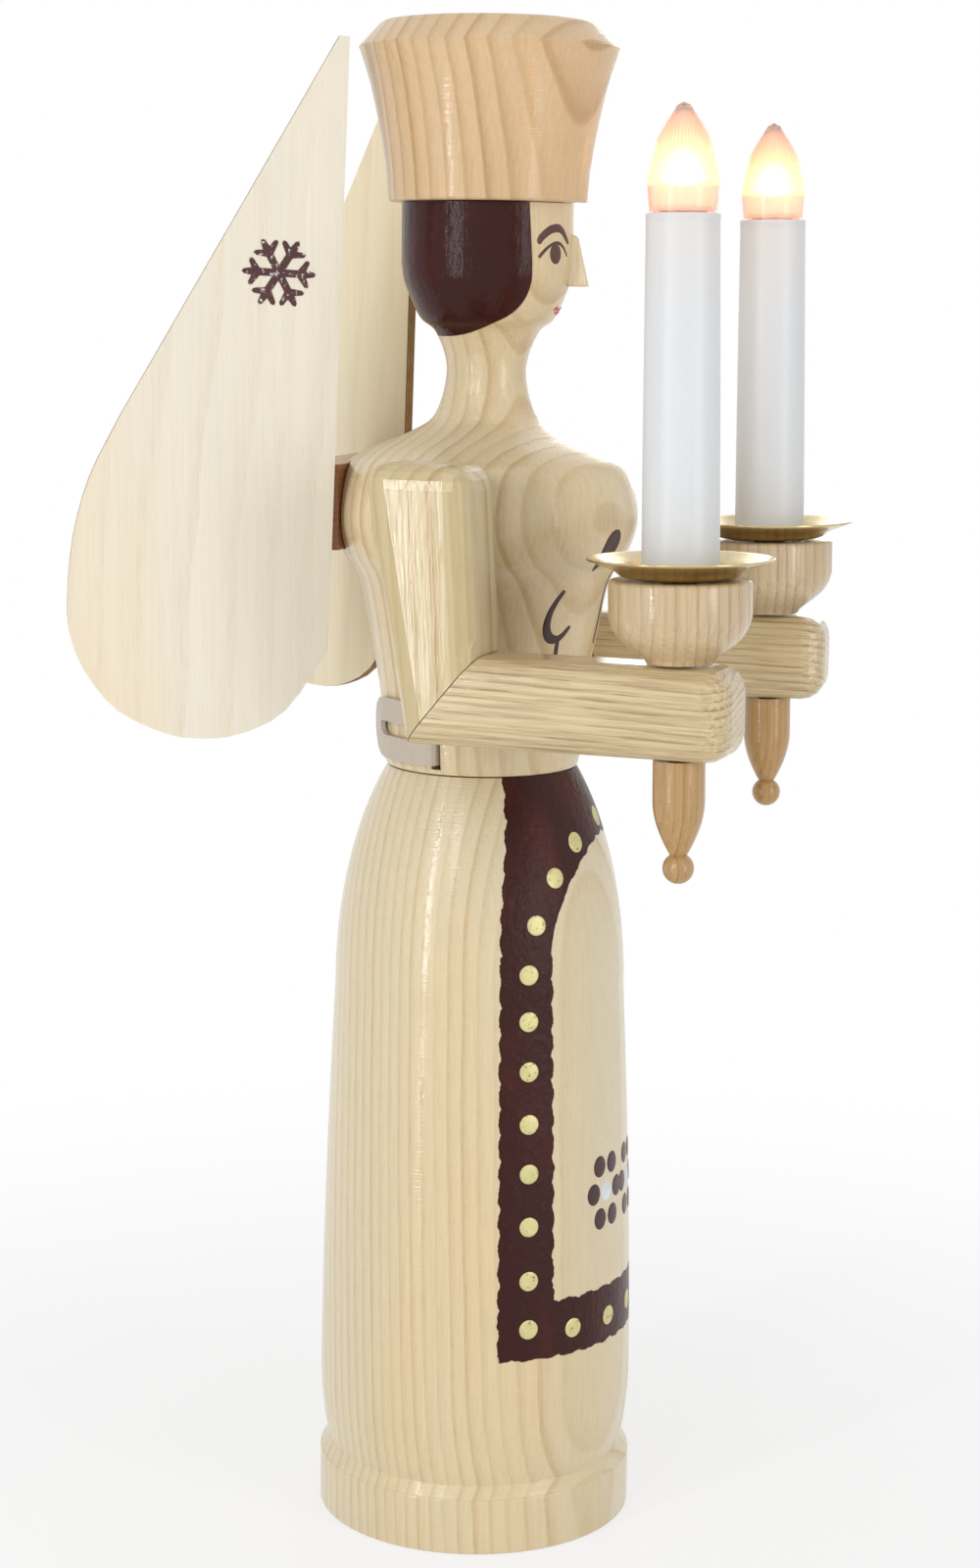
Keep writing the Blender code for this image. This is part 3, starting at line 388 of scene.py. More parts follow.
class Graph:
    """A material's nodes, with short calls for the ones that the finishes share."""

    def __init__(self, name):
        self.material = bpy.data.materials.new(name)
        self.material.use_nodes = True
        self.tree = self.material.node_tree
        self.shader = self.tree.nodes["Principled BSDF"]
        self.place = self.node("ShaderNodeTexCoord").outputs["Object"]

    def feed(self, socket, value):
        if isinstance(value, bpy.types.NodeSocket):
            self.tree.links.new(value, socket)
        elif isinstance(value, (tuple, Vector)) and socket.type == "RGBA":
            socket.default_value = (*value[:3], 1.0)
        else:
            socket.default_value = value

    def node(self, kind, inputs=(), **settings):
        made = self.tree.nodes.new(kind)
        for name, value in settings.items():
            setattr(made, name, value)
        for key, value in dict(inputs).items():
            self.feed(made.inputs[key], value)
        return made

    def math(self, operation, *values, clamp=False):
        return self.node("ShaderNodeMath", enumerate(values), operation=operation, use_clamp=clamp).outputs[0]

    def vector(self, operation, *values):
        made = self.node("ShaderNodeVectorMath", enumerate(values), operation=operation)
        return made.outputs["Value" if operation in ("DOT_PRODUCT", "LENGTH") else "Vector"]

    def add(self, first, second):
        return self.math("ADD", first, second)

    def sub(self, first, second):
        return self.math("SUBTRACT", first, second)

    def mul(self, first, second):
        return self.math("MULTIPLY", first, second)

    def mul_add(self, value, factor, extra):
        return self.math("MULTIPLY_ADD", value, factor, extra)

    def least(self, first, second):
        return self.math("MINIMUM", first, second)

    def scale(self, colour, factor):
        return self.vector("SCALE", colour, (0, 0, 0), (0, 0, 0), factor)

    def noise(self, place, stretch, detail=2.0, roughness=0.5):
        """Noise from 0 to 1 with this many features a metre along each axis."""
        scaled = self.vector("MULTIPLY", place, stretch)
        inputs = {"Vector": scaled, "Scale": 1.0, "Detail": detail, "Roughness": roughness}
        return self.node("ShaderNodeTexNoise", inputs).outputs[0]

    def ramp(self, value, *stops):
        """A colour ramp over stops, each a position and a grey or a colour."""
        made = self.node("ShaderNodeValToRGB", {"Fac": value})
        elements = made.color_ramp.elements
        elements[1].position = stops[-1][0]
        elements[0].position = stops[0][0]
        for position, _ in stops[1:-1]:
            elements.new(position)
        for element, (_, colour) in zip(elements, stops):
            element.color = (*colour, 1) if isinstance(colour, tuple) else (colour, colour, colour, 1)
        return made.outputs["Color"]

    def rise(self, value, low, high):
        """Zero below low, one above high and smooth between."""
        inputs = {0: value, 1: low, 2: high}
        return self.node("ShaderNodeMapRange", inputs, interpolation_type="SMOOTHSTEP").outputs[0]

    def curve(self, value, low, high, points):
        """A value looked up on a curve through points, each an input between low and high and a result."""
        bottom, top = min(y for _, y in points), max(y for _, y in points)
        share = self.node("ShaderNodeMapRange", {0: value, 1: low, 2: high}).outputs[0]
        made = self.node("ShaderNodeFloatCurve", {"Value": share})
        track = made.mapping.curves[0].points
        scaled = [((x - low) / (high - low), (y - bottom) / (top - bottom)) for x, y in points]
        track[0].location = scaled[0]
        track[1].location = scaled[-1]
        for spot in scaled[1:-1]:
            track.new(*spot)
        made.mapping.update()
        inputs = {0: made.outputs[0], 3: bottom, 4: top}
        return self.node("ShaderNodeMapRange", inputs).outputs[0]

    def mix(self, factor, first, second):
        """A colour between two colours."""
        return self.node("ShaderNodeMix", {0: factor, 6: first, 7: second}, data_type="RGBA").outputs[2]

    def blend(self, factor, first, second):
        """A plain number between two numbers."""
        return self.node("ShaderNodeMix", {0: factor, 2: first, 3: second}, data_type="FLOAT").outputs[0]

    def bump(self, height, distance):
        inputs = {"Height": height, "Distance": distance, "Strength": 1.0}
        return self.node("ShaderNodeBump", inputs).outputs["Normal"]

    def axes(self, across, along):
        """Object coordinates turned so that X runs across the growth rings and Z along the grain."""
        across, along = Vector(across).normalized(), Vector(along).normalized()
        third = along.cross(across)
        parts = [self.vector("DOT_PRODUCT", self.place, tuple(axis)) for axis in (across, third, along)]
        return self.node("ShaderNodeCombineXYZ", enumerate(parts)).outputs[0]

    def split(self, value):
        made = self.node("ShaderNodeSeparateXYZ", {0: value})
        return made.outputs[0], made.outputs[1], made.outputs[2]

    def set(self, **values):
        """Feeds the shader's own sockets, such as coat_weight for Coat Weight."""
        for key, value in values.items():
            self.feed(self.shader.inputs[key.replace("_", " ").title().replace("Ior", "IOR")], value)


# ---- wood ----


class Wood(Graph):
    """Ring-porous wood: growth rings, pores and fibres that run through the solid, under a clear lacquer."""

    def __init__(self, name, pale, dark, across=(-0.35, -0.94, 0), along=(0, 0, 1), spacing=0.004, shift=0.0,
                 lean=0.04, bend=0.0, sway=0.0045, line=0.55, fibre=0.16, grit=2600, pores=0.35, turned=True):
        super().__init__(name)
        grain = self.axes(across, along)
        u, v, w = self.split(grain)

        drift = self.sub(self.noise(grain, (24, 24, 6), 2.0), 0.5)
        rings = self.mul_add(w, lean, u)
        rings = self.mul_add(drift, sway, rings)
        rings = self.mul_add(self.mul(v, v), bend, rings)
        rings = self.mul_add(rings, 1 / spacing, 50 + shift)
        phase = self.math("FRACT", rings)
        year = self.node("ShaderNodeTexWhiteNoise", {"W": self.math("FLOOR", rings)}, noise_dimensions="1D")
        depth = self.blend(year.outputs["Value"], 0.35, 1.0)
        band = self.ramp(phase, (0.0, 0.0), (0.07, 0.9), (0.16, 1.0), (0.34, 0.40), (0.62, 0.06), (1.0, 0.0))
        late = self.mul(band, depth)

        streak = self.noise(grain, (900, 900, 22), 3.0, 0.6)
        fine = self.noise(grain, (grit, grit, grit / 28), 2.0, 0.6)
        start = 0.66 - 0.26 * pores
        pore = self.mul(self.rise(fine, start, start + 0.11), self.blend(late, 0.35, 1.0))
        tone = self.noise(grain, (16, 16, 3), 2.0)

        amount = self.mul(late, line)
        colour = self.mix(amount, pale, dark)
        warm = tuple(c * f for c, f in zip(pale, (1.02, 0.93, 0.80)))
        colour = self.mix(self.rise(tone, 0.45, 0.75), colour, self.mix(amount, warm, dark))
        shade = self.blend(streak, 1 - fibre, 1 + fibre)
        colour = self.scale(colour, shade)
        colour = self.mix(self.mul(pore, pores), colour, dark)
        self.colour = colour

        height = self.mul_add(pore, -0.9, self.mul(streak, 0.35))
        if turned:
            tool = self.noise(self.place, (40, 40, 1500), 2.0, 0.6)
            height = self.mul_add(tool, 1.5, height)
        self.height = height
        self.rough = self.blend(streak, 0.26, 0.42)
        self.specular = 0.35
        self.lacquer = 0.6

    def coat(self, mask, colour, rough, height, specular=0.10, lacquer=0.22):
        """A coat of paint over the wood where the mask is 1."""
        self.colour = self.mix(mask, self.colour, colour)
        self.rough = self.blend(mask, self.rough, rough)
        self.height = self.blend(mask, self.height, height)
        self.specular = self.blend(mask, self.specular, specular)
        self.lacquer = self.blend(mask, self.lacquer, lacquer)

    def finish(self, distance=0.00008, gloss=None):
        rough = self.rough if gloss is None else self.add(self.rough, gloss)
        normal = self.bump(self.height, distance)
        self.set(base_color=self.colour, roughness=rough, normal=normal, coat_normal=normal,
                 specular_ior_level=self.specular, coat_weight=self.lacquer, coat_roughness=0.09)
        return self.material

    def polar(self, turn):
        """Angle from the front to either side of a turned centre line, distance from the axis, and height."""
        x, y, z = self.split(self.place)
        angle = self.math("ARCTAN2", x, self.mul(y, -1))
        angle = self.math("ABSOLUTE", self.sub(angle, turn))
        radius = self.math("SQRT", self.add(self.mul(x, x), self.mul(y, y)))
        return angle, radius, z

    def dark_paint(self):
        """Dark red-brown brushed paint: its colour, roughness and height."""
        mottle = self.noise(self.place, (420, 420, 300), 4.0, 0.65)
        patch = self.noise(self.place, (60, 60, 25), 3.0)
        # Redder patches in the paint's own colour, then paler red specks on the mottle's peaks that are painted
        # glints of its rough surface.
        colour = self.mix(self.rise(patch, 0.45, 0.80), DARK_PAINT, DARK_PAINT_PATCHES_AND_GLINTS)
        colour = self.mix(self.rise(mottle, 0.60, 0.82), colour, tuple(c * 1.4 for c in DARK_PAINT_PATCHES_AND_GLINTS))
        rough = self.blend(mottle, 0.22, 0.50)
        height = self.mul_add(mottle, 6.0, -0.5)
        return colour, rough, height


def skirt_wood():
    wood = Wood("skirt_wood", SKIRT_PALE, SKIRT_DARK, spacing=0.0040, shift=0.3, line=0.56, fibre=0.09)
    angle, radius, z = wood.polar(APRON_TURN)

    def scallops(run, rate):
        return wood.mul(wood.math("ABSOLUTE", wood.math("SINE", wood.mul(run, rate))), SCALLOP_H)

    def arc_to(limit):
        return wood.mul(wood.sub(limit, angle), radius)

    up = scallops(z, pi / SCALLOP)
    side = scallops(angle, SCALLOP_R * pi / SCALLOP)
    ragged = wood.mul_add(wood.noise(wood.place, (600, 600, 600), 3.0), 0.0014, -0.0007)
    up, side = wood.add(up, ragged), wood.add(side, ragged)
    narrowing = wood.rise(z, NARROWING_Z, WAIST_Z)
    outer = wood.blend(narrowing, BORDER_TURN, BORDER_WAIST_TURN)
    inside_edge = wood.add(arc_to(outer), up)
    above_hem = wood.add(wood.sub(z, BAND_LOW), side)
    field_side = wood.sub(arc_to(FIELD_TURN), up)
    field_low = wood.sub(wood.sub(z, BAND_HIGH), side)
    share = wood.mul(angle, 1 / FIELD_TURN)
    crown = wood.math("SQRT", wood.math("SUBTRACT", 1.0, wood.mul(share, share), clamp=True))
    arch = wood.mul_add(crown, ARCH_H, ARCH_Z)
    field_top = wood.sub(wood.sub(arch, z), side)
    field = wood.least(field_side, wood.least(field_low, field_top))
    border = wood.least(wood.least(inside_edge, above_hem), wood.mul(field, -1))
    mask = wood.rise(border, -PAINT_EDGE, PAINT_EDGE)
    wood.coat(mask, *wood.dark_paint())
    return wood.finish()


def torso_wood():
    wood = Wood("torso_wood", ASH_PALE, ASH_DARK, spacing=0.0055, shift=0.55, line=0.68, lean=0.03,
                sway=0.0030)
    angle, _, z = wood.polar(FACE_TURN)
    hairline = wood.mul_add(wood.sub(z, HAIRLINE_Z), HAIRLINE_SLOPE, HAIRLINE_TURN)
    behind = wood.mul(wood.sub(angle, hairline), HEAD_R)
    low = wood.curve(angle, radians(40), pi, [
        (radians(40), 0.4040), (radians(47.6), 0.4009), (radians(48.2), 0.3982), (radians(50), 0.3957),
        (radians(53), 0.3935), (radians(60), 0.3907), (radians(68.4), 0.3889), (radians(87), 0.3861),
        (radians(108), 0.3844), (radians(136), 0.3838), (pi, 0.3838),
    ])
    above = wood.sub(z, low)
    mask = wood.rise(wood.least(behind, above), -PAINT_EDGE, PAINT_EDGE)
    colour, rough, brushed = wood.dark_paint()
    strands = wood.noise(wood.place, (260, 260, 14), 3.0)
    height = wood.mul_add(brushed, 0.45, wood.mul(strands, 2.5))
    wood.coat(mask, colour, wood.mul(rough, 0.7), height)
    return wood.finish()


def plywood(name, side):
    """Birch veneer on both faces, and the darker sawn edge of its plies."""
    outwards = (side * sin(WING_ANGLE), -cos(WING_ANGLE), 0)
    along_wing = (side * cos(WING_ANGLE), sin(WING_ANGLE), 0)
    pale, dark = (0.830, 0.770, 0.645), (0.730, 0.620, 0.440)
    if side == LEFT:  # painted light: a paler, warmer copy of the same veneer, standing in for the warm light on this wing
        pale, dark = (0.90, 0.80, 0.58), (0.78, 0.63, 0.38)
    wood = Wood(name, pale, dark, across=along_wing, spacing=0.013, shift=0.2 * side, lean=0.05,
                sway=0.030, line=0.30, fibre=0.07, turned=False)
    normal = wood.node("ShaderNodeNewGeometry").outputs["Normal"]
    facing = wood.math("ABSOLUTE", wood.vector("DOT_PRODUCT", normal, outwards))
    edge = wood.rise(facing, 0.75, 0.45)
    depth = wood.vector("DOT_PRODUCT", wood.place, outwards)
    plies = wood.math("FRACT", wood.mul(depth, 3 / WING_T))
    sawn = wood.ramp(plies, (0.0, (0.19, 0.095, 0.035)), (0.35, (0.42, 0.27, 0.125)), (0.65, (0.50, 0.34, 0.17)),
                     (1.0, (0.19, 0.095, 0.035)))
    burn = wood.noise(wood.place, (250, 250, 250), 3.0)
    sawn = wood.mix(wood.rise(burn, 0.35, 0.75), sawn, (0.30, 0.165, 0.065))
    wood.lacquer = 0.1
    wood.coat(edge, sawn, 0.6, burn, 0.2, 0.0)
    return wood.finish(0.00006, gloss=0.15)


def plain_wood(name, pale, dark, gloss=None, distance=0.00008, **grain):
    return Wood(name, pale, dark, **grain).finish(distance, gloss)


# ---- other finishes ----


def paint(name, colour, rough=0.35, metallic=0.0, wear_and_glints=None):
    """Brushed paint or foil, a little uneven, with specks of a second colour: worn-through specks on the gold dots,
    and painted glints on the snowflakes' foil.
    """
    graph = Graph(name)
    mottle = graph.noise(graph.place, (700, 700, 700), 4.0, 0.65)
    patch = graph.noise(graph.place, (220, 220, 220), 2.0)
    shade = graph.blend(patch, 0.80, 1.20)
    mixed = graph.scale(colour, shade)
    if wear_and_glints is not None:
        mixed = graph.mix(graph.rise(mottle, 0.57, 0.68), mixed, wear_and_glints)
    graph.set(base_color=mixed, roughness=graph.blend(mottle, rough - 0.08, rough + 0.12),
              normal=graph.bump(mottle, 0.00006), metallic=metallic)
    return graph.material


def brass(name, colour, rough):
    graph = Graph(name)
    cloud = graph.noise(graph.place, (110, 110, 110), 3.0)
    scratch = graph.noise(graph.place, (1500, 1500, 150), 3.0, 0.7)
    dull = tuple(c * f for c, f in zip(colour, (0.72, 0.62, 0.52)))
    graph.set(base_color=graph.mix(graph.rise(cloud, 0.40, 0.85), colour, dull),
              roughness=graph.blend(scratch, rough - 0.05, rough + 0.16),
              normal=graph.bump(scratch, 0.00002), metallic=1.0)
    return graph.material


def candle_plastic():
    """White plastic sleeve, with the light of the lamp shining through its top painted in as a warmer colour."""
    graph = Graph("sleeve_plastic")
    _, _, z = graph.split(graph.place)
    cloud = graph.noise(graph.place, (60, 60, 20), 2.0)
    body = graph.mix(cloud, (0.745, 0.765, 0.790), (0.785, 0.795, 0.805))
    # Painted glow: the sleeve's top turns warmer, and its lip peach, for the lamp's light shining through it.
    warm = graph.mix(graph.mul(graph.rise(z, 0.385, 0.425), 0.6), body, (0.82, 0.76, 0.72))
    lip = graph.rise(z, 0.4223, 0.4243)
    graph.set(base_color=graph.mix(lip, warm, (0.95, 0.72, 0.56)),
              roughness=graph.blend(cloud, 0.34, 0.46),
              normal=graph.bump(graph.noise(graph.place, (400, 400, 60), 2.0), 0.00002),
              subsurface_weight=0.15, subsurface_radius=(0.004, 0.003, 0.002))
    return graph.material


def soft_plastic(name, colour, rough=0.35):
    graph = Graph(name)
    cloud = graph.noise(graph.place, (150, 150, 150), 2.0)
    darker = tuple(c * 0.88 for c in colour)
    graph.set(base_color=graph.mix(cloud, colour, darker), roughness=graph.blend(cloud, rough, rough + 0.12),
              normal=graph.bump(cloud, 0.00004))
    return graph.material


def lamp_glass(side):
    """Ribbed glass with the lamp's warm light painted into its tint and glow: yellow round the core, peach above
    and below, grey at the tip.
    """
    graph = Graph(f"lamp_glass_{SIDE_NAMES[side]}")
    seat = candle_frame(side, SLEEVE_TOP + FIT)
    offset = graph.vector("SUBTRACT", graph.place, tuple(seat.translation))
    x, y, z = [graph.vector("DOT_PRODUCT", offset, tuple(seat.col[axis][:3])) for axis in range(3)]
    share = graph.mul(z, 1 / BULB_H)
    painted_light_tint = graph.ramp(
        share, (0.0, (0.96, 0.70, 0.60)), (0.22, (0.97, 0.71, 0.60)), (0.27, (0.99, 0.87, 0.60)),
        (0.46, (0.99, 0.86, 0.62)), (0.70, (0.97, 0.76, 0.62)), (0.86, (0.92, 0.69, 0.59)),
        (0.95, (0.62, 0.51, 0.46)), (1.0, (0.50, 0.42, 0.38)),
    )
    glow = graph.ramp(
        share, (0.0, (0.24, 0.08, 0.06)), (0.22, (0.26, 0.09, 0.07)), (0.28, (0.42, 0.28, 0.15)),
        (0.46, (0.36, 0.22, 0.12)), (0.70, (0.22, 0.10, 0.06)), (0.86, (0.14, 0.06, 0.04)),
        (0.95, (0.05, 0.03, 0.02)), (1.0, (0.03, 0.02, 0.02)),
    )
    wave = graph.math("COSINE", graph.mul(graph.math("ARCTAN2", y, x), RIBS))
    # Painted shade in the grooves between the ribs, darkening both the tint and the glow.
    groove = graph.mul(graph.rise(wave, 0.1, -0.9), graph.rise(share, 0.24, 0.62))
    shade = graph.blend(groove, 1.0, 0.80)
    graph.set(base_color=graph.scale(painted_light_tint, shade), emission_color=graph.scale(glow, shade),
              roughness=0.16, emission_strength=1.0, transmission_weight=0.5, ior=1.35)
    return graph.material


def glowing(name, core, edge, strength):
    """The lit inside of the lamp, paler at its middle."""
    graph = Graph(name)
    flicker = graph.noise(graph.place, (300, 300, 300), 1.0)
    graph.set(base_color=(0.9, 0.8, 0.6), emission_color=graph.mix(flicker, core, edge),
              emission_strength=strength)
    return graph.material


# ---- turned pieces ----


def skirt_outline():
    groove_top = FOOT_H + GROOVE_H
    hem_z = groove_top + (HEM_R - GROOVE_R) * 4
    outline = [(0, 0), (FOOT_R - FOOT_EDGE_R, 0)]
    outline += rounded_edge(FOOT_R - FOOT_EDGE_R, FOOT_EDGE_R, FOOT_EDGE_R, -90, 0)[1:]
    outline += rounded_edge(FOOT_R - FOOT_EDGE_R, FOOT_H - FOOT_EDGE_R, FOOT_EDGE_R, 0, 80)
    outline += curve_through([
        (GROOVE_R, FOOT_H + GROOVE_H * 0.35),
        (GROOVE_R * 0.5 + HEM_R * 0.5, groove_top),
        (HEM_R - EDGE_R * 0.2, hem_z),
    ])
    straight = SKIRT_BEND_Z - hem_z
    for step in range(1, 24):
        t = step / 24
        outline.append((HEM_R - (HEM_R - SKIRT_BEND_R) * t**1.7, hem_z + straight * t))
    waist_share = WAIST_R / SKIRT_BEND_R
    reach = (WAIST_Z - SKIRT_BEND_Z) / sqrt(1 - waist_share**2)
    last = atan2(sqrt(1 - waist_share**2), waist_share)
    for step in range(33):
        angle = last * step / 32
        outline.append((SKIRT_BEND_R * cos(angle), SKIRT_BEND_Z + reach * sin(angle)))
    return outline + [(0, WAIST_Z)]


def torso_outline():
    """From the spigot in the skirt up to the spigot in the hat, heights above the waist."""
    rib, breast, chest = (0.0348, 0.035), (0.0400, BREAST_RISE), (CHEST_R, 0.0805)
    shoulder, neck_foot, neck = (0.0377, 0.1004), (0.0159, 0.1122), (0.0126, 0.126)
    chin, head = (0.0213, 0.142), (HEAD_R, 0.1585)

    def between(low, high, share_r, share_z):
        return (low[0] * (1 - share_r) + high[0] * share_r, low[1] * (1 - share_z) + high[1] * share_z)

    stations = [
        (TORSO_BASE_R, FIT + EDGE_R * 2),
        (TORSO_BASE_R * 0.6 + rib[0] * 0.4, rib[1] * 0.6),
        rib,
        breast,
        between(breast, chest, 0.65, 0.45),
        chest,
        between(chest, shoulder, 0.32, 0.7),
        shoulder,
        between(shoulder, neck_foot, 0.65, 0.5),
        neck_foot,
        neck,
        between(neck, chin, 0.4, 0.7),
        chin,
        between(chin, head, 0.8, 0.62),
        head,
    ]
    outline = [(0, -SPIGOT_H), (SPIGOT_R, -SPIGOT_H), (SPIGOT_R, FIT)]
    outline += [(TORSO_BASE_R - EDGE_R, FIT), (TORSO_BASE_R - EDGE_R * 0.4, FIT + EDGE_R * 0.4)]
    outline += curve_through(stations)
    return outline + [
        (HEAD_R, CROWN_RISE),
        (CROWN_SPIGOT_R, CROWN_RISE),
        (CROWN_SPIGOT_R, CROWN_RISE + CROWN_SPIGOT_H),
        (0, CROWN_RISE + CROWN_SPIGOT_H),
    ]


def make_skirt():
    skirt = lathe("turned_skirt", skirt_outline())
    backwards = Matrix.Translation((0, 0, INLET_Z)) @ Matrix.Rotation(-pi / 2, 4, "X")
    inlet = bore("inlet", INLET_R, 0, FOOT_R, place=backwards)
    channel = bore("channel", CHANNEL_R, CHANNEL_FOOT_Z, ABOVE_WAIST_Z)
    socket = bore("socket", SPIGOT_R + FIT, WAIST_Z - SPIGOT_H - FIT, ABOVE_WAIST_Z, SOCKET_SIDES)
    carve(skirt, [socket, channel, inlet])
    return dress(skirt, skirt_wood(), "body_wood", "skirt")


def make_torso():
    torso = lathe("turned_torso", torso_outline(), place=Matrix.Translation((0, 0, WAIST_Z)))
    reach = CHEST_R * 1.2
    top = WAIST_Z + BRACKET_RISE + BRACKET_H + FIT
    cutters = [box("notch", (-reach, BRACKET_Y - FIT, top - BRACKET_H - 2 * FIT), (reach, reach, top))]
    cutters.append(bore("channel", CHANNEL_R, BELOW_WAIST_Z, CHANNEL_TOP_Z))
    for side in (RIGHT, LEFT):
        face = -side * (ARM_W / 2 + FIT)
        xs = sorted((face, side * ARM_W))
        name = SIDE_NAMES[side]
        cutters.append(box(f"flat_{name}", (xs[0], -ARM_W, BREAST_RISE), (xs[1], ARM_W, CROWN_RISE),
                           arm_frame(side)))
        turn = Matrix.Translation((0, 0, WAIST_Z)) @ Matrix.Rotation(side * LEAD_SLOT_ANGLE, 4, "Z")
        half_h, half_t = LEAD_W / 2 + FIT * 5, LEAD_T / 2 + FIT * 3
        low = (-half_t, -TORSO_BASE_R * 1.3, LEAD_LOW_RISE - half_h)
        cutters.append(box(f"slot_{name}", low, (half_t, 0, LEAD_LOW_RISE + half_h), turn))
    carve(torso, cutters)
    return dress(torso, torso_wood(), "body_wood", "torso")


def make_hat():
    outline = [(0, 0), (HAT_R - EDGE_R, 0)]
    outline += rounded_edge(HAT_R - EDGE_R, EDGE_R, EDGE_R, -90, 0)[1:]
    outline += curve_through([
        (HAT_R * 0.75 + HAT_WAIST_R * 0.25, HAT_WAIST_H * 0.45),
        (HAT_WAIST_R, HAT_WAIST_H),
        (HAT_WAIST_R * 0.55 + HAT_RIM_R * 0.45, HAT_WAIST_H * 0.45 + HAT_RIM_H * 0.55),
        (HAT_RIM_R - 0.0004, HAT_RIM_H - 0.0008),
    ])
    outline += [(HAT_RIM_R, HAT_RIM_H), (HAT_RIM_R - 0.0006, HAT_RIM_H + 0.0007)]
    outline += [(HAT_TOP_R + 0.0008, HAT_H - 0.0008), (HAT_TOP_R - 0.0004, HAT_H - 0.0001)]
    outline += [(HAT_TOP_R - 0.0018, HAT_H), (0, HAT_H)]
    seat = WAIST_Z + CROWN_RISE + FIT
    hat = lathe("turned_hat", outline, place=Matrix.Translation((0, 0, seat)))
    carve(hat, [bore("socket", CROWN_SPIGOT_R + FIT, BELOW_HAT_Z, seat + CROWN_SPIGOT_H + FIT, SOCKET_SIDES)])
    pale, dark = (0.720, 0.510, 0.285), (0.480, 0.255, 0.085)
    wood = plain_wood("hat_wood", pale, dark, gloss=0.10, across=(-0.33, -0.94, 0), spacing=0.0058, shift=0.15,
                      lean=0.012, sway=0.0032, line=0.78, fibre=0.14)
    return dress(hat, wood, "hat_wood", "hat")


def make_cup(side):
    bore = PIPE_R + FIT
    foot = tilt_gap(CUP_FOOT_R)
    outline = [(bore, foot), (CUP_FOOT_R, foot)]
    outline += curve_through([
        (CUP_FOOT_R + EDGE_R * 0.5, foot + EDGE_R),
        (CUP_WAIST_R, CUP_WAIST_H),
        (CUP_WAIST_R * 0.3 + CUP_R * 0.7, CUP_WAIST_H * 0.5 + CUP_SIDE_H * 0.5),
        (CUP_R, CUP_SIDE_H),
    ])
    outline += rounded_edge(CUP_R - EDGE_R, CUP_H - EDGE_R, EDGE_R, 0, 90)
    outline += [(bore, CUP_H)]
    name = SIDE_NAMES[side]
    cup = lathe(f"turned_cup_{name}", outline, SMALL_SIDES, candle_frame(side), ring=True)
    pale, dark = (0.640, 0.500, 0.315), (0.330, 0.215, 0.110)
    wood = plain_wood(f"cup_wood_{name}", pale, dark, across=(0.284, -0.959, 0), spacing=0.0031,
                      shift=0.4 * side, lean=0.03, sway=0.0030, line=0.50, fibre=0.20, grit=1300, pores=0.5)
    dress(cup, wood, "cup_wood", f"candle_cup_{name}")


def make_finial(side):
    seat = -FOREARM_H - tilt_gap(FINIAL_R)
    outline = [(0, seat + FINIAL_SPIGOT_H), (FINIAL_SPIGOT_R, seat + FINIAL_SPIGOT_H)]
    outline += [(FINIAL_SPIGOT_R, seat), (FINIAL_R, seat), (FINIAL_R, seat - FINIAL_STRAIGHT)]
    for step in range(1, 21):
        t = step / 20
        r = FINIAL_NECK_R + (FINIAL_R - FINIAL_NECK_R) * cos(t * pi / 2) ** 0.9
        outline.append((r, seat - FINIAL_STRAIGHT - FINIAL_TAPER * t))
    ball_drop = sqrt(FINIAL_BALL_R**2 - FINIAL_NECK_R**2)
    ball_z = seat - FINIAL_STRAIGHT - FINIAL_TAPER - ball_drop
    first = atan2(FINIAL_NECK_R, ball_drop)
    for step in range(1, 21):
        angle = first + (pi - first) * step / 20
        outline.append((FINIAL_BALL_R * sin(angle), ball_z + FINIAL_BALL_R * cos(angle)))
    outline[-1] = (0, outline[-1][1])
    name = SIDE_NAMES[side]
    finial = lathe(f"turned_drop_{name}", outline[::-1], SMALL_SIDES, candle_frame(side))
    pale, dark = (0.500, 0.305, 0.120), (0.270, 0.120, 0.035)
    wood = plain_wood(f"drop_wood_{name}", pale, dark, across=(0.6, -0.8, 0), spacing=0.0022,
                      shift=0.3 * side, lean=0.02, sway=0.003, line=0.55, fibre=0.25)
    dress(finial, wood, "cup_wood", f"hand_finial_{name}")


def make_pan(side, metal):
    below = curve_through([
        (PAN_FLAT_R, 0),
        (PAN_FLAT_R * 0.45 + PAN_BEND_R * 0.55, PAN_BEND_H * 0.3),
        (PAN_BEND_R, PAN_BEND_H),
        (PAN_R - PAN_T * 0.5, PAN_H - PAN_T * 1.1),
    ])
    hole = PIPE_R + FIT
    above = [(r - PAN_T * 0.4, z + PAN_T) for r, z in below[:-1]]
    lip = rounded_edge(PAN_R - PAN_T * 0.5, PAN_H - PAN_T * 0.5, PAN_T * 0.5, -60, 120, 6)
    outline = [(hole, 0)] + below + lip + above[::-1] + [(hole, PAN_T)]
    name = SIDE_NAMES[side]
    pan = lathe(f"pressed_pan_{name}", outline, PAN_SIDES, candle_frame(side, CUP_H + FIT), ring=True)
    dress(pan, metal, "pan_brass", f"drip_pan_{name}")


def make_sleeve(side, plastic):
    edge = SLEEVE_WALL * 0.7
    outer = curve_through([
        (SLEEVE_FOOT_R, 0),
        (SLEEVE_FOOT_R * 0.5 + SLEEVE_TOP_R * 0.5, SLEEVE_H * 0.5),
        (SLEEVE_TOP_R - 0.00012, SLEEVE_H - 0.0042),
        (SLEEVE_TOP_R - 0.00008, SLEEVE_H - 0.0022),
    ], 3)
    outer += rounded_edge(SLEEVE_TOP_R - edge, SLEEVE_H - edge, edge, -20, 90)
    outline = outer + [(SLEEVE_TOP_R - SLEEVE_WALL, SLEEVE_H), (SLEEVE_FOOT_R - SLEEVE_WALL, 0)]
    name = SIDE_NAMES[side]
    sleeve = lathe(f"candle_{name}", outline, PAN_SIDES, candle_frame(side, SLEEVE_SEAT), ring=True)
    dress(sleeve, plastic, "sleeve_white", f"candle_sleeve_{name}")


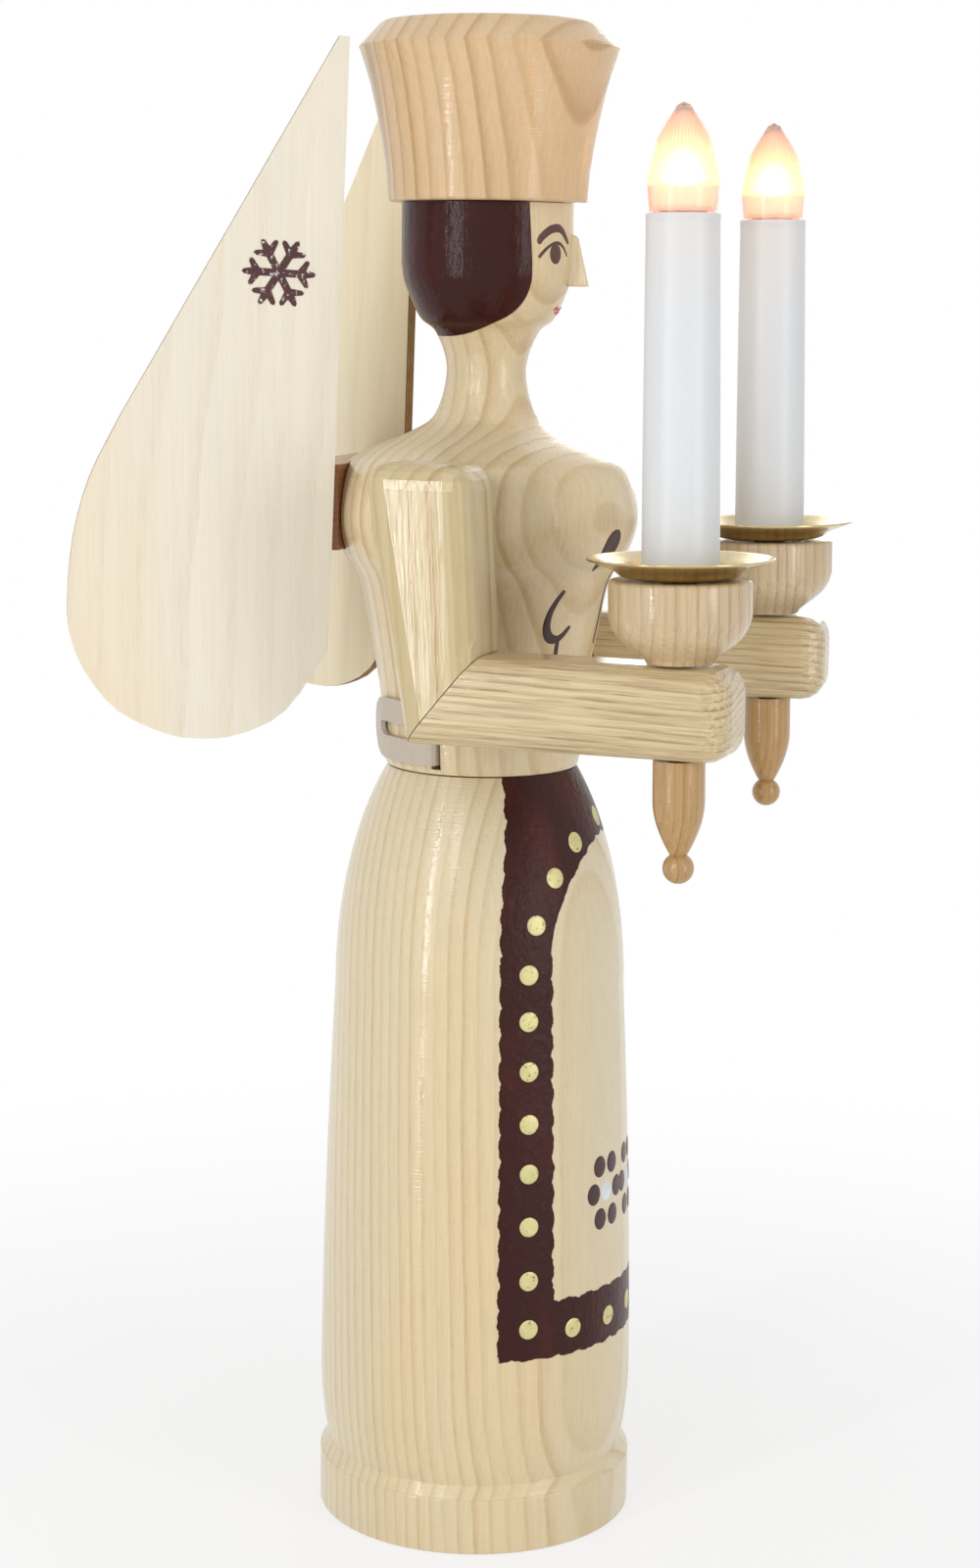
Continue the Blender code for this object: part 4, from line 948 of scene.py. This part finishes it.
def make_lamp(side, glass, light):
    """The flame-shaped glass: fine ribs that start above a plain collar and run out at the tip."""
    skin = curve_through([
        (BULB_FOOT_R, 0),
        (BULB_R, BULB_WIDE_H),
        (BULB_R * 0.45 + BULB_MIDDLE_R * 0.55, BULB_WIDE_H * 0.4 + BULB_MIDDLE_H * 0.6),
        (BULB_MIDDLE_R, BULB_MIDDLE_H),
        (BULB_TIP_R, BULB_TIP_H),
    ])
    sides = RIBS * 4
    bm = bmesh.new()

    def add_ring(r, z, depth):
        ring = []
        for i in range(sides):
            angle = 2 * pi * i / sides
            radius = r - depth * (0.5 - 0.5 * cos(angle * RIBS))
            ring.append(bm.verts.new((radius * cos(angle), radius * sin(angle), z)))
        return ring

    def rib_depth(z, r):
        start = min(max((z - RIBS_START) / RIBS_RUN_IN, 0), 1)
        return RIB_DEPTH * start * min(r / BULB_R, 1)

    rings = [add_ring(r, z, rib_depth(z, r)) for r, z in skin]
    inner = [(r - BULB_WALL, z) for r, z in skin if r > BULB_WALL * 3]
    inside = [add_ring(r, z, 0) for r, z in inner]
    outer_tip = bm.verts.new((0, 0, BULB_H))
    inner_tip = bm.verts.new((0, 0, inner[-1][1] + BULB_WALL))
    for wall in (rings, inside):
        for low, high in zip(wall, wall[1:]):
            join_rings(bm, low, high)
    join_tip(bm, rings[-1], outer_tip)
    join_tip(bm, inside[-1], inner_tip)
    join_rings(bm, rings[0], inside[0])
    name = SIDE_NAMES[side]
    seat = candle_frame(side, SLEEVE_TOP + FIT)
    dress(piece(f"ribbed_glass_{name}", bm, seat, 60), glass, "lamp_glass", f"bulb_envelope_{name}")

    core = [(0, 0.0070), (0.0040, 0.0072)]
    core += curve_through([(0.0062, 0.0082), (0.0066, 0.0108), (0.0052, 0.0148), (0.0026, 0.0174)], 4)
    core += [(0, 0.0184)]
    dress(lathe(f"lamp_light_{name}", core, 48, seat), light, "filament", f"filament_{name}")


# ---- painted decoration ----


class Skin:
    """A turned surface that paint lies on, found by a level ray from outside towards the axis."""

    def __init__(self, obj):
        verts = [v.co.copy() for v in obj.data.vertices]
        self.tree = BVHTree.FromPolygons(verts, [tuple(p.vertices) for p in obj.data.polygons])

    def at(self, turn, z, lift=0.0):
        outwards = Vector((sin(turn), -cos(turn), 0))
        spot, normal, _, _ = self.tree.ray_cast(outwards * 0.2 + Vector((0, 0, z)), -outwards)
        return spot + normal * lift

    def radius(self, turn, z):
        spot = self.at(turn, z)
        return sqrt(spot.x**2 + spot.y**2)


def dab(bm, skin, turn, z, half_wide, half_high):
    """A drop of paint on the surface: a low cap with a soft rim, closed just under the wood."""
    radius = skin.radius(turn, z)
    rings = []
    for share, rise in ((0.5, 1.0), (0.8, 0.85), (0.94, 0.5), (1.0, -0.3)):
        ring = []
        for i in range(DAB_SIDES):
            angle = 2 * pi * i / DAB_SIDES
            x, y = half_wide * share * cos(angle), half_high * share * sin(angle)
            ring.append(bm.verts.new(skin.at(turn + x / radius, z + y, PAINT_T * rise)))
        rings.append(ring)
    join_tip(bm, rings[0], bm.verts.new(skin.at(turn, z, PAINT_T)))
    join_tip(bm, rings[-1][::-1], bm.verts.new(skin.at(turn, z, -PAINT_T * 2)))
    for inner, outer in zip(rings, rings[1:]):
        join_rings(bm, outer, inner)


def stroke(bm, skin, stations, lift=PAINT_T):
    """A brush stroke with round ends through stations: turn in degrees, height and half width in mm."""
    path = curve_through([(radians(a), z / 1000, w / 1000) for a, z, w in stations], STROKE_STEPS)
    middle = path[len(path) // 2]
    radius = skin.radius(middle[0], middle[1])
    flat = [Vector((turn * radius, z)) for turn, z, _ in path]
    run = [0.0]
    for start, stop in zip(flat, flat[1:]):
        run.append(run[-1] + (stop - start).length)
    profile = [(-1, -0.3), (-0.85, 0.6), (-0.45, 1.0), (0, 1.0), (0.45, 1.0), (0.85, 0.6), (1, -0.3), (0, -2.0)]
    rings = []
    for i, spot in enumerate(flat):
        before, after = flat[max(i - 1, 0)], flat[min(i + 1, len(flat) - 1)]
        forwards = (after - before).normalized()
        sideways = Vector((-forwards.y, forwards.x))
        half = path[i][2]
        near = min(run[i], run[-1] - run[i])
        if near < half:
            half *= sqrt(max(1 - (1 - near / half) ** 2, 0.0004))
        ring = []
        for share, rise in profile:
            at = spot + sideways * half * share
            ring.append(bm.verts.new(skin.at(at.x / radius, at.y, lift * rise)))
        rings.append(ring)
    for low, high in zip(rings, rings[1:]):
        join_rings(bm, low, high)
    bm.faces.new(rings[0])
    bm.faces.new(rings[-1][::-1])


def mirrored(stations, turn):
    """The same stroke on the other side of the centre line, which lies at this turn."""
    centre = degrees(turn)
    return [(2 * centre - a, z, w) for a, z, w in stations]


def make_skirt_paint(skirt):
    skin = Skin(skirt)
    centre = degrees(APRON_TURN)
    gold = bmesh.new()
    column = [(57.7, z) for z in (188.0, 173.2, 157.3, 140.5, 124.6, 107.5, 89.9, 74.1)]
    arch = [(54.0, 203.3), (43.6, 217.2), (28.2, 227.0)]
    hem = [(39.2, 72.2), (19.5, 72.0)]
    middle = [(0.0, 232.5), (0.0, 72.0)]
    mirror_image = [(-a, z) for a, z in column + arch + hem]
    for a, z in column + arch + hem + middle + mirror_image:
        dab(gold, skin, radians(centre + a), z / 1000, DOT_R, DOT_R)
    dress(piece("gold_dots", gold), paint("gold_foil", GOLD_PAINT, 0.38, 0.35, (0.20, 0.15, 0.05)), "body_wood")

    dark, white = bmesh.new(), bmesh.new()
    petals = [(-6.9, 0.0), (6.9, 0.0), (-3.7, 8.6), (3.7, 8.6), (-3.7, -8.6), (3.7, -8.6)]
    for middle in (-16.8, 5.1, 27.0):
        turn = radians(middle)
        radius = skin.radius(turn, FLOWER_Z)
        for across, rise in petals:
            dab(dark, skin, turn + across / 1000 / radius, FLOWER_Z + rise / 1000, *PETAL)
        dab(white, skin, turn, FLOWER_Z, *HEART)
    dress(piece("flower_petals", dark), paint("petal_paint", DARK_PAINT, 0.30), "body_wood")
    dress(piece("flower_hearts", white), paint("white_paint", WHITE_PAINT, 0.35), "body_wood")


def make_torso_paint(torso):
    skin = Skin(torso)
    chest = bmesh.new()
    leaf = [(-22.3, 312.6, 0.5), (-20.6, 316.0, 2.4), (-17.0, 320.2, 4.3), (-14.2, 325.4, 3.6)]
    scroll = [(-34.8, 307.0, 0.75), (-38.4, 303.5, 0.95), (-41.2, 299.6, 1.15), (-42.0, 295.4, 1.5),
              (-39.9, 292.2, 1.75), (-35.2, 291.4, 1.3), (-31.2, 292.8, 0.95), (-27.3, 295.4, 0.65)]
    stalk = [(-34.2, 291.8, 0.8), (-34.4, 288.0, 0.85), (-34.0, 283.5, 0.8), (-33.0, 279.5, 0.6)]
    for line in (leaf, scroll, stalk):
        stroke(chest, skin, line)
        stroke(chest, skin, mirrored(line, CHEST_TURN))
    stem = [(2.0, 311.5, 0.5), (1.0, 304.0, 0.7), (2.5, 296.0, 0.8), (2.0, 288.0, 0.6)]
    stroke(chest, skin, stem)
    dress(piece("chest_scrolls", chest), paint("chest_paint", DARK_PAINT, 0.32), "body_wood")

    face = bmesh.new()
    brow = [(-39.0, 412.2, 1.05), (-37.0, 413.9, 1.2), (-33.1, 415.4, 1.3), (-27.8, 416.7, 1.35),
            (-21.1, 417.1, 1.35), (-16.4, 416.3, 1.15), (-12.1, 414.6, 0.95), (-7.6, 412.5, 0.75)]
    lid = [(-38.6, 408.0, 0.55), (-36.2, 409.2, 0.6), (-32.5, 410.7, 0.55), (-27.7, 412.0, 0.5),
           (-23.3, 412.6, 0.55), (-19.3, 412.5, 0.55), (-14.9, 411.4, 0.5), (-11.8, 410.0, 0.4), (-9.7, 408.6, 0.3)]
    for line in (brow, lid):
        stroke(face, skin, line)
        stroke(face, skin, mirrored(line, FACE_TURN))
    for turn in (EYE_TURN, 2 * FACE_TURN - EYE_TURN):
        dab(face, skin, turn, EYE_Z, *EYE)
    dress(piece("eyes_and_brows", face), paint("face_paint", FACE_BROWN, 0.40), "body_wood")

    lips = bmesh.new()
    upper = [(-8.2, 392.2, 0.3), (-4.2, 392.8, 0.6), (-0.5, 392.5, 0.55), (5.0, 392.1, 0.45)]
    lower = [(-4.4, 391.7, 0.25), (0.0, 391.3, 0.45), (5.0, 391.2, 0.55)]
    for line in (upper, lower):
        stroke(lips, skin, line)
        stroke(lips, skin, mirrored(line, FACE_TURN), PAINT_T * 0.9)
    dress(piece("lips", lips), paint("lip_paint", LIP_RED, 0.40), "body_wood")


def make_snowflake(side, foil):
    """A six-armed star of foil whose arms each have a pair of side branches."""
    s, c = sin(STAR_FORK_ANGLE), cos(STAR_FORK_ANGLE)
    arm, fork = STAR_ARM_HALF, STAR_FORK_HALF
    end_x, end_y = STAR_FORK_AT + c * STAR_FORK_LENGTH, s * STAR_FORK_LENGTH
    half = [
        (arm / tan(pi / 6), arm),
        (STAR_FORK_AT + (c * arm - fork) / s, arm),
        (end_x - s * fork * 0.7, end_y + c * fork * 0.7),
        (end_x + c * fork * 0.6, end_y + s * fork * 0.6),
        (end_x + s * fork * 0.7, end_y - c * fork * 0.7),
        (STAR_FORK_AT + (c * arm + fork) / s, arm),
        (STAR_R - arm / 2, arm * 0.62),
    ]
    bm = bmesh.new()
    hub = []
    for step in range(6):
        turn = Matrix.Rotation(step * pi / 3, 4, "Z")
        low, high = ([bm.verts.new(turn @ Vector((x, y * flip, 0))) for x, y in half] for flip in (-1, 1))
        tip = bm.verts.new(turn @ Vector((STAR_R, 0, 0)))
        hub.append(low[0])
        bm.faces.new((low[0], low[1], high[1], high[0]))
        bm.faces.new((low[1], low[5], high[5], high[1]))
        bm.faces.new((low[5], low[6], tip, high[6], high[5]))
        bm.faces.new(low[5:0:-1])
        bm.faces.new(high[1:6][::-1])
    bm.faces.new(hub)
    bmesh.ops.remove_doubles(bm, verts=bm.verts, dist=1e-6)
    bmesh.ops.recalc_face_normals(bm, faces=bm.faces)
    grown = bmesh.ops.extrude_face_region(bm, geom=bm.faces[:])["geom"]
    bmesh.ops.translate(bm, verts=[v for v in grown if isinstance(v, bmesh.types.BMVert)], vec=(0, 0, FOIL_T))
    place = wing_frame(side) @ Matrix.Translation((STAR_OUT, STAR_RISE, WING_T - FOIL_T / 4))
    place = place @ Matrix.Rotation(STAR_TURN, 4, "Z")
    dress(piece(f"snowflake_{SIDE_NAMES[side]}", bm, place), foil, "wing_plywood")


# ---- sawn pieces, leads and small parts ----


def dress_arms(side):
    name = SIDE_NAMES[side]
    turn = arm_frame(side).to_3x3()
    forwards = tuple(turn @ Vector((0, -1, 0)))
    upper = plain_wood(f"upper_arm_wood_{name}", (0.610, 0.510, 0.300), (0.460, 0.270, 0.090),
                       across=(-0.42, -0.90, 0.05), along=(0, 0.06, 1), spacing=0.0052, shift=0.1,
                       lean=0.0, bend=3.0, sway=0.004, line=0.72, fibre=0.13, turned=False)
    dress_node(f"upper_arm_{name}", upper)
    fore = plain_wood(f"forearm_wood_{name}", (0.670, 0.535, 0.310), (0.300, 0.165, 0.055),
                      across=(0.25 * side, 0.0, 1.0), along=forwards, spacing=0.0024, shift=0.3,
                      lean=0.015, sway=0.0018, line=0.42, fibre=0.24, grit=1200, pores=0.70, turned=False,
                      distance=0.00012)
    dress_node(f"forearm_{name}", fore)
    dowel = plain_wood(f"dowel_wood_{name}", ASH_PALE, ASH_DARK, along=(1, 0, 0), across=(0, 0, 1), turned=False)
    dress_node(f"shoulder_dowel_{name}", dowel)
    dress_node(f"elbow_dowel_{name}", dowel)


def make_nose():
    """A slim wedge with a flat underside and rounded edges, its back against the face."""
    outline = [(NOSE_BACK_R, 0), (HEAD_R + NOSE_TIP_OUT, 0)]
    outline += [(HEAD_R + NOSE_TOP_OUT, NOSE_H), (NOSE_BACK_R, NOSE_H)]
    bm = bmesh.new()
    flanks = []
    for side in (RIGHT, LEFT):
        widths = (1, 1, 0.8, 1)
        flanks.append([bm.verts.new((side * NOSE_HALF_W * w, -y, z)) for w, (y, z) in zip(widths, outline)])
    bm.faces.new(flanks[0])
    bm.faces.new(flanks[1][::-1])
    join_rings(bm, flanks[1], flanks[0])
    bmesh.ops.bevel(bm, geom=bm.edges[:], offset=NOSE_EDGE_R, segments=3, profile=0.5, affect="EDGES")
    place = Matrix.Translation((0, 0, WAIST_Z + NOSE_RISE)) @ Matrix.Rotation(FACE_TURN, 4, "Z")
    wood = plain_wood("nose_wood", (0.760, 0.655, 0.470), (0.640, 0.480, 0.250), spacing=0.0040, line=0.35,
                      turned=False)
    dress(piece("nose_wedge", bm, place), wood, "body_wood", "nose")


def dress_small_parts():
    bracket = plain_wood("bracket_wood", (0.330, 0.130, 0.035), (0.170, 0.055, 0.012), along=(1, 0, 0),
                         across=(0, 0.3, 1), spacing=0.0025, line=0.6, fibre=0.25, turned=False)
    dress_node("wing_bracket", bracket)
    dress_node("lead_joint", soft_plastic("joint_plastic", (0.60, 0.60, 0.58)))
    lead = soft_plastic("lead_plastic", (0.58, 0.50, 0.41), 0.30)
    cap = brass("cap_brass", (0.62, 0.48, 0.26), 0.30)
    holder = soft_plastic("holder_plastic", (0.70, 0.70, 0.68))
    for name in SIDE_NAMES.values():
        dress_node(f"lead_{name}", lead)
        dress_node(f"bulb_cap_{name}", cap)
        dress_node(f"lampholder_{name}", holder)


# ---- studio ----


def seen(graph):
    """One for what the camera, a reflection or a refraction sees, and zero for the light on the object."""
    path = graph.nodes.new("ShaderNodeLightPath")
    most = None
    for name in ("Is Camera Ray", "Is Glossy Ray", "Is Transmission Ray"):
        if most is None:
            most = path.outputs[name]
            continue
        larger = graph.nodes.new("ShaderNodeMath")
        larger.operation = "MAXIMUM"
        graph.links.new(most, larger.inputs[0])
        graph.links.new(path.outputs[name], larger.inputs[1])
        most = larger.outputs[0]
    return most


def make_world():
    world = bpy.data.worlds.new("studio")
    bpy.context.scene.world = world
    world.use_nodes = True
    tree = world.node_tree
    light = tree.nodes["Background"]
    light.inputs["Color"].default_value = (1, 1, 1, 1)
    light.inputs["Strength"].default_value = WORLD_LIGHT
    white = tree.nodes.new("ShaderNodeBackground")
    white.inputs["Color"].default_value = (1, 1, 1, 1)
    mix = tree.nodes.new("ShaderNodeMixShader")
    tree.links.new(seen(tree), mix.inputs[0])
    tree.links.new(light.outputs[0], mix.inputs[1])
    tree.links.new(white.outputs[0], mix.inputs[2])
    tree.links.new(mix.outputs[0], tree.nodes["World Output"].inputs["Surface"])


def make_floor():
    bm = bmesh.new()
    bmesh.ops.create_grid(bm, x_segments=8, y_segments=8, size=8)
    floor = piece("floor", bm, Matrix.Translation((0, 0, -0.0001)))
    graph = Graph("floor_paper")
    tree = graph.tree
    grain = graph.noise(graph.place, (40, 40, 40), 2.0)
    graph.set(base_color=graph.mix(grain, (0.90, 0.90, 0.90), (0.93, 0.93, 0.93)), roughness=0.9,
              specular_ior_level=0.0)
    away = graph.rise(graph.vector("LENGTH", graph.place), 0.10, 0.55)
    share = graph.mul(seen(tree), graph.blend(away, 0.68, 1.0))
    white = graph.node("ShaderNodeEmission", {"Strength": 1.0})
    mix = graph.node("ShaderNodeMixShader", {0: share, 1: graph.shader.outputs[0], 2: white.outputs[0]})
    tree.links.new(mix.outputs[0], tree.nodes["Material Output"].inputs["Surface"])
    floor.data.materials.append(graph.material)


def add_lamp(name, turn, distance, height, wide, high, power):
    """A softbox that stands at this turn about the axis, from the front towards the figure's left."""
    data = bpy.data.lights.new(name, "AREA")
    data.shape = "RECTANGLE"
    data.size, data.size_y = wide, high
    data.energy = power
    lamp = link(bpy.data.objects.new(name, data))
    spot = Vector((sin(turn) * distance, -cos(turn) * distance, height))
    lamp.location = spot
    lamp.rotation_euler = (Vector((0, 0, LAMP_AIM_Z)) - spot).to_track_quat("-Z", "Y").to_euler()


def make_lamps():
    camera_turn = -(pi / 2 - VIEW_SIDE)
    add_lamp("strip_left", camera_turn - radians(43), 1.1, 0.40, 0.06, 1.00, 3.6)
    add_lamp("window_left", camera_turn - radians(24), 1.5, 0.95, 0.25, 0.40, 2.2)
    add_lamp("soft_right", camera_turn + radians(48), 1.4, 0.45, 0.35, 0.90, 4.0)
    add_lamp("soft_back", camera_turn + radians(170), 1.5, 0.70, 0.60, 0.80, 3.0)
    add_lamp("overhead", camera_turn, 0.25, 1.70, 0.90, 0.90, 1.5)


def make_camera():
    """The photograph's pinhole camera, its axes turned from the photograph's frame into the object's."""
    cp, sp, cy, sy = cos(VIEW_PITCH), sin(VIEW_PITCH), cos(VIEW_YAW), sin(VIEW_YAW)
    forwards = Vector((sy * cp, cy * cp, -sp))
    right = Vector((cy, -sy, 0))
    up = right.cross(forwards)
    across = right * cos(VIEW_ROLL) + up * sin(VIEW_ROLL)
    upright = up * cos(VIEW_ROLL) - right * sin(VIEW_ROLL)
    turn = Matrix(((sin(VIEW_SIDE), cos(VIEW_SIDE), 0), (-cos(VIEW_SIDE), sin(VIEW_SIDE), 0), (0, 0, 1)))
    place = Matrix.Identity(4)
    for column, axis in enumerate((across, upright, -forwards)):
        place.col[column] = (*(turn @ axis), 0)
    place.col[3] = (*(turn @ Vector((0, -VIEW_DISTANCE, VIEW_HEIGHT))), 1)
    data = bpy.data.cameras.new("camera")
    data.sensor_width = SENSOR
    data.lens = SENSOR * FOCAL_PX / IMAGE_LONG_SIDE
    data.clip_start = 0.01
    camera = link(bpy.data.objects.new("camera", data))
    camera.matrix_world = place
    bpy.context.scene.camera = camera


bpy.context.scene.view_settings.view_transform = "Standard"
make_camera()
make_world()
make_floor()
make_lamps()

skirt_piece = make_skirt()
torso_piece = make_torso()
make_hat()
make_skirt_paint(skirt_piece)
make_torso_paint(torso_piece)
make_nose()
dress_small_parts()
pan_metal = brass("pan_brass", (0.60, 0.49, 0.27), 0.14)
white_plastic = candle_plastic()
lamp_light = glowing("lamp_light", (1.0, 0.80, 0.48), (1.0, 0.72, 0.36), 7.0)
# The snowflakes' pale specks are painted glints on the dark foil.
star_foil = paint("snowflake_foil", (0.105, 0.050, 0.048), 0.22, 0.8, (0.75, 0.72, 0.72))
for each_side in (RIGHT, LEFT):
    dress_arms(each_side)
    make_cup(each_side)
    make_finial(each_side)
    make_pan(each_side, pan_metal)
    make_sleeve(each_side, white_plastic)
    make_lamp(each_side, lamp_glass(each_side), lamp_light)
    dress_node(f"wing_{SIDE_NAMES[each_side]}", plywood(f"wing_ply_{SIDE_NAMES[each_side]}", each_side))
    make_snowflake(each_side, star_foil)
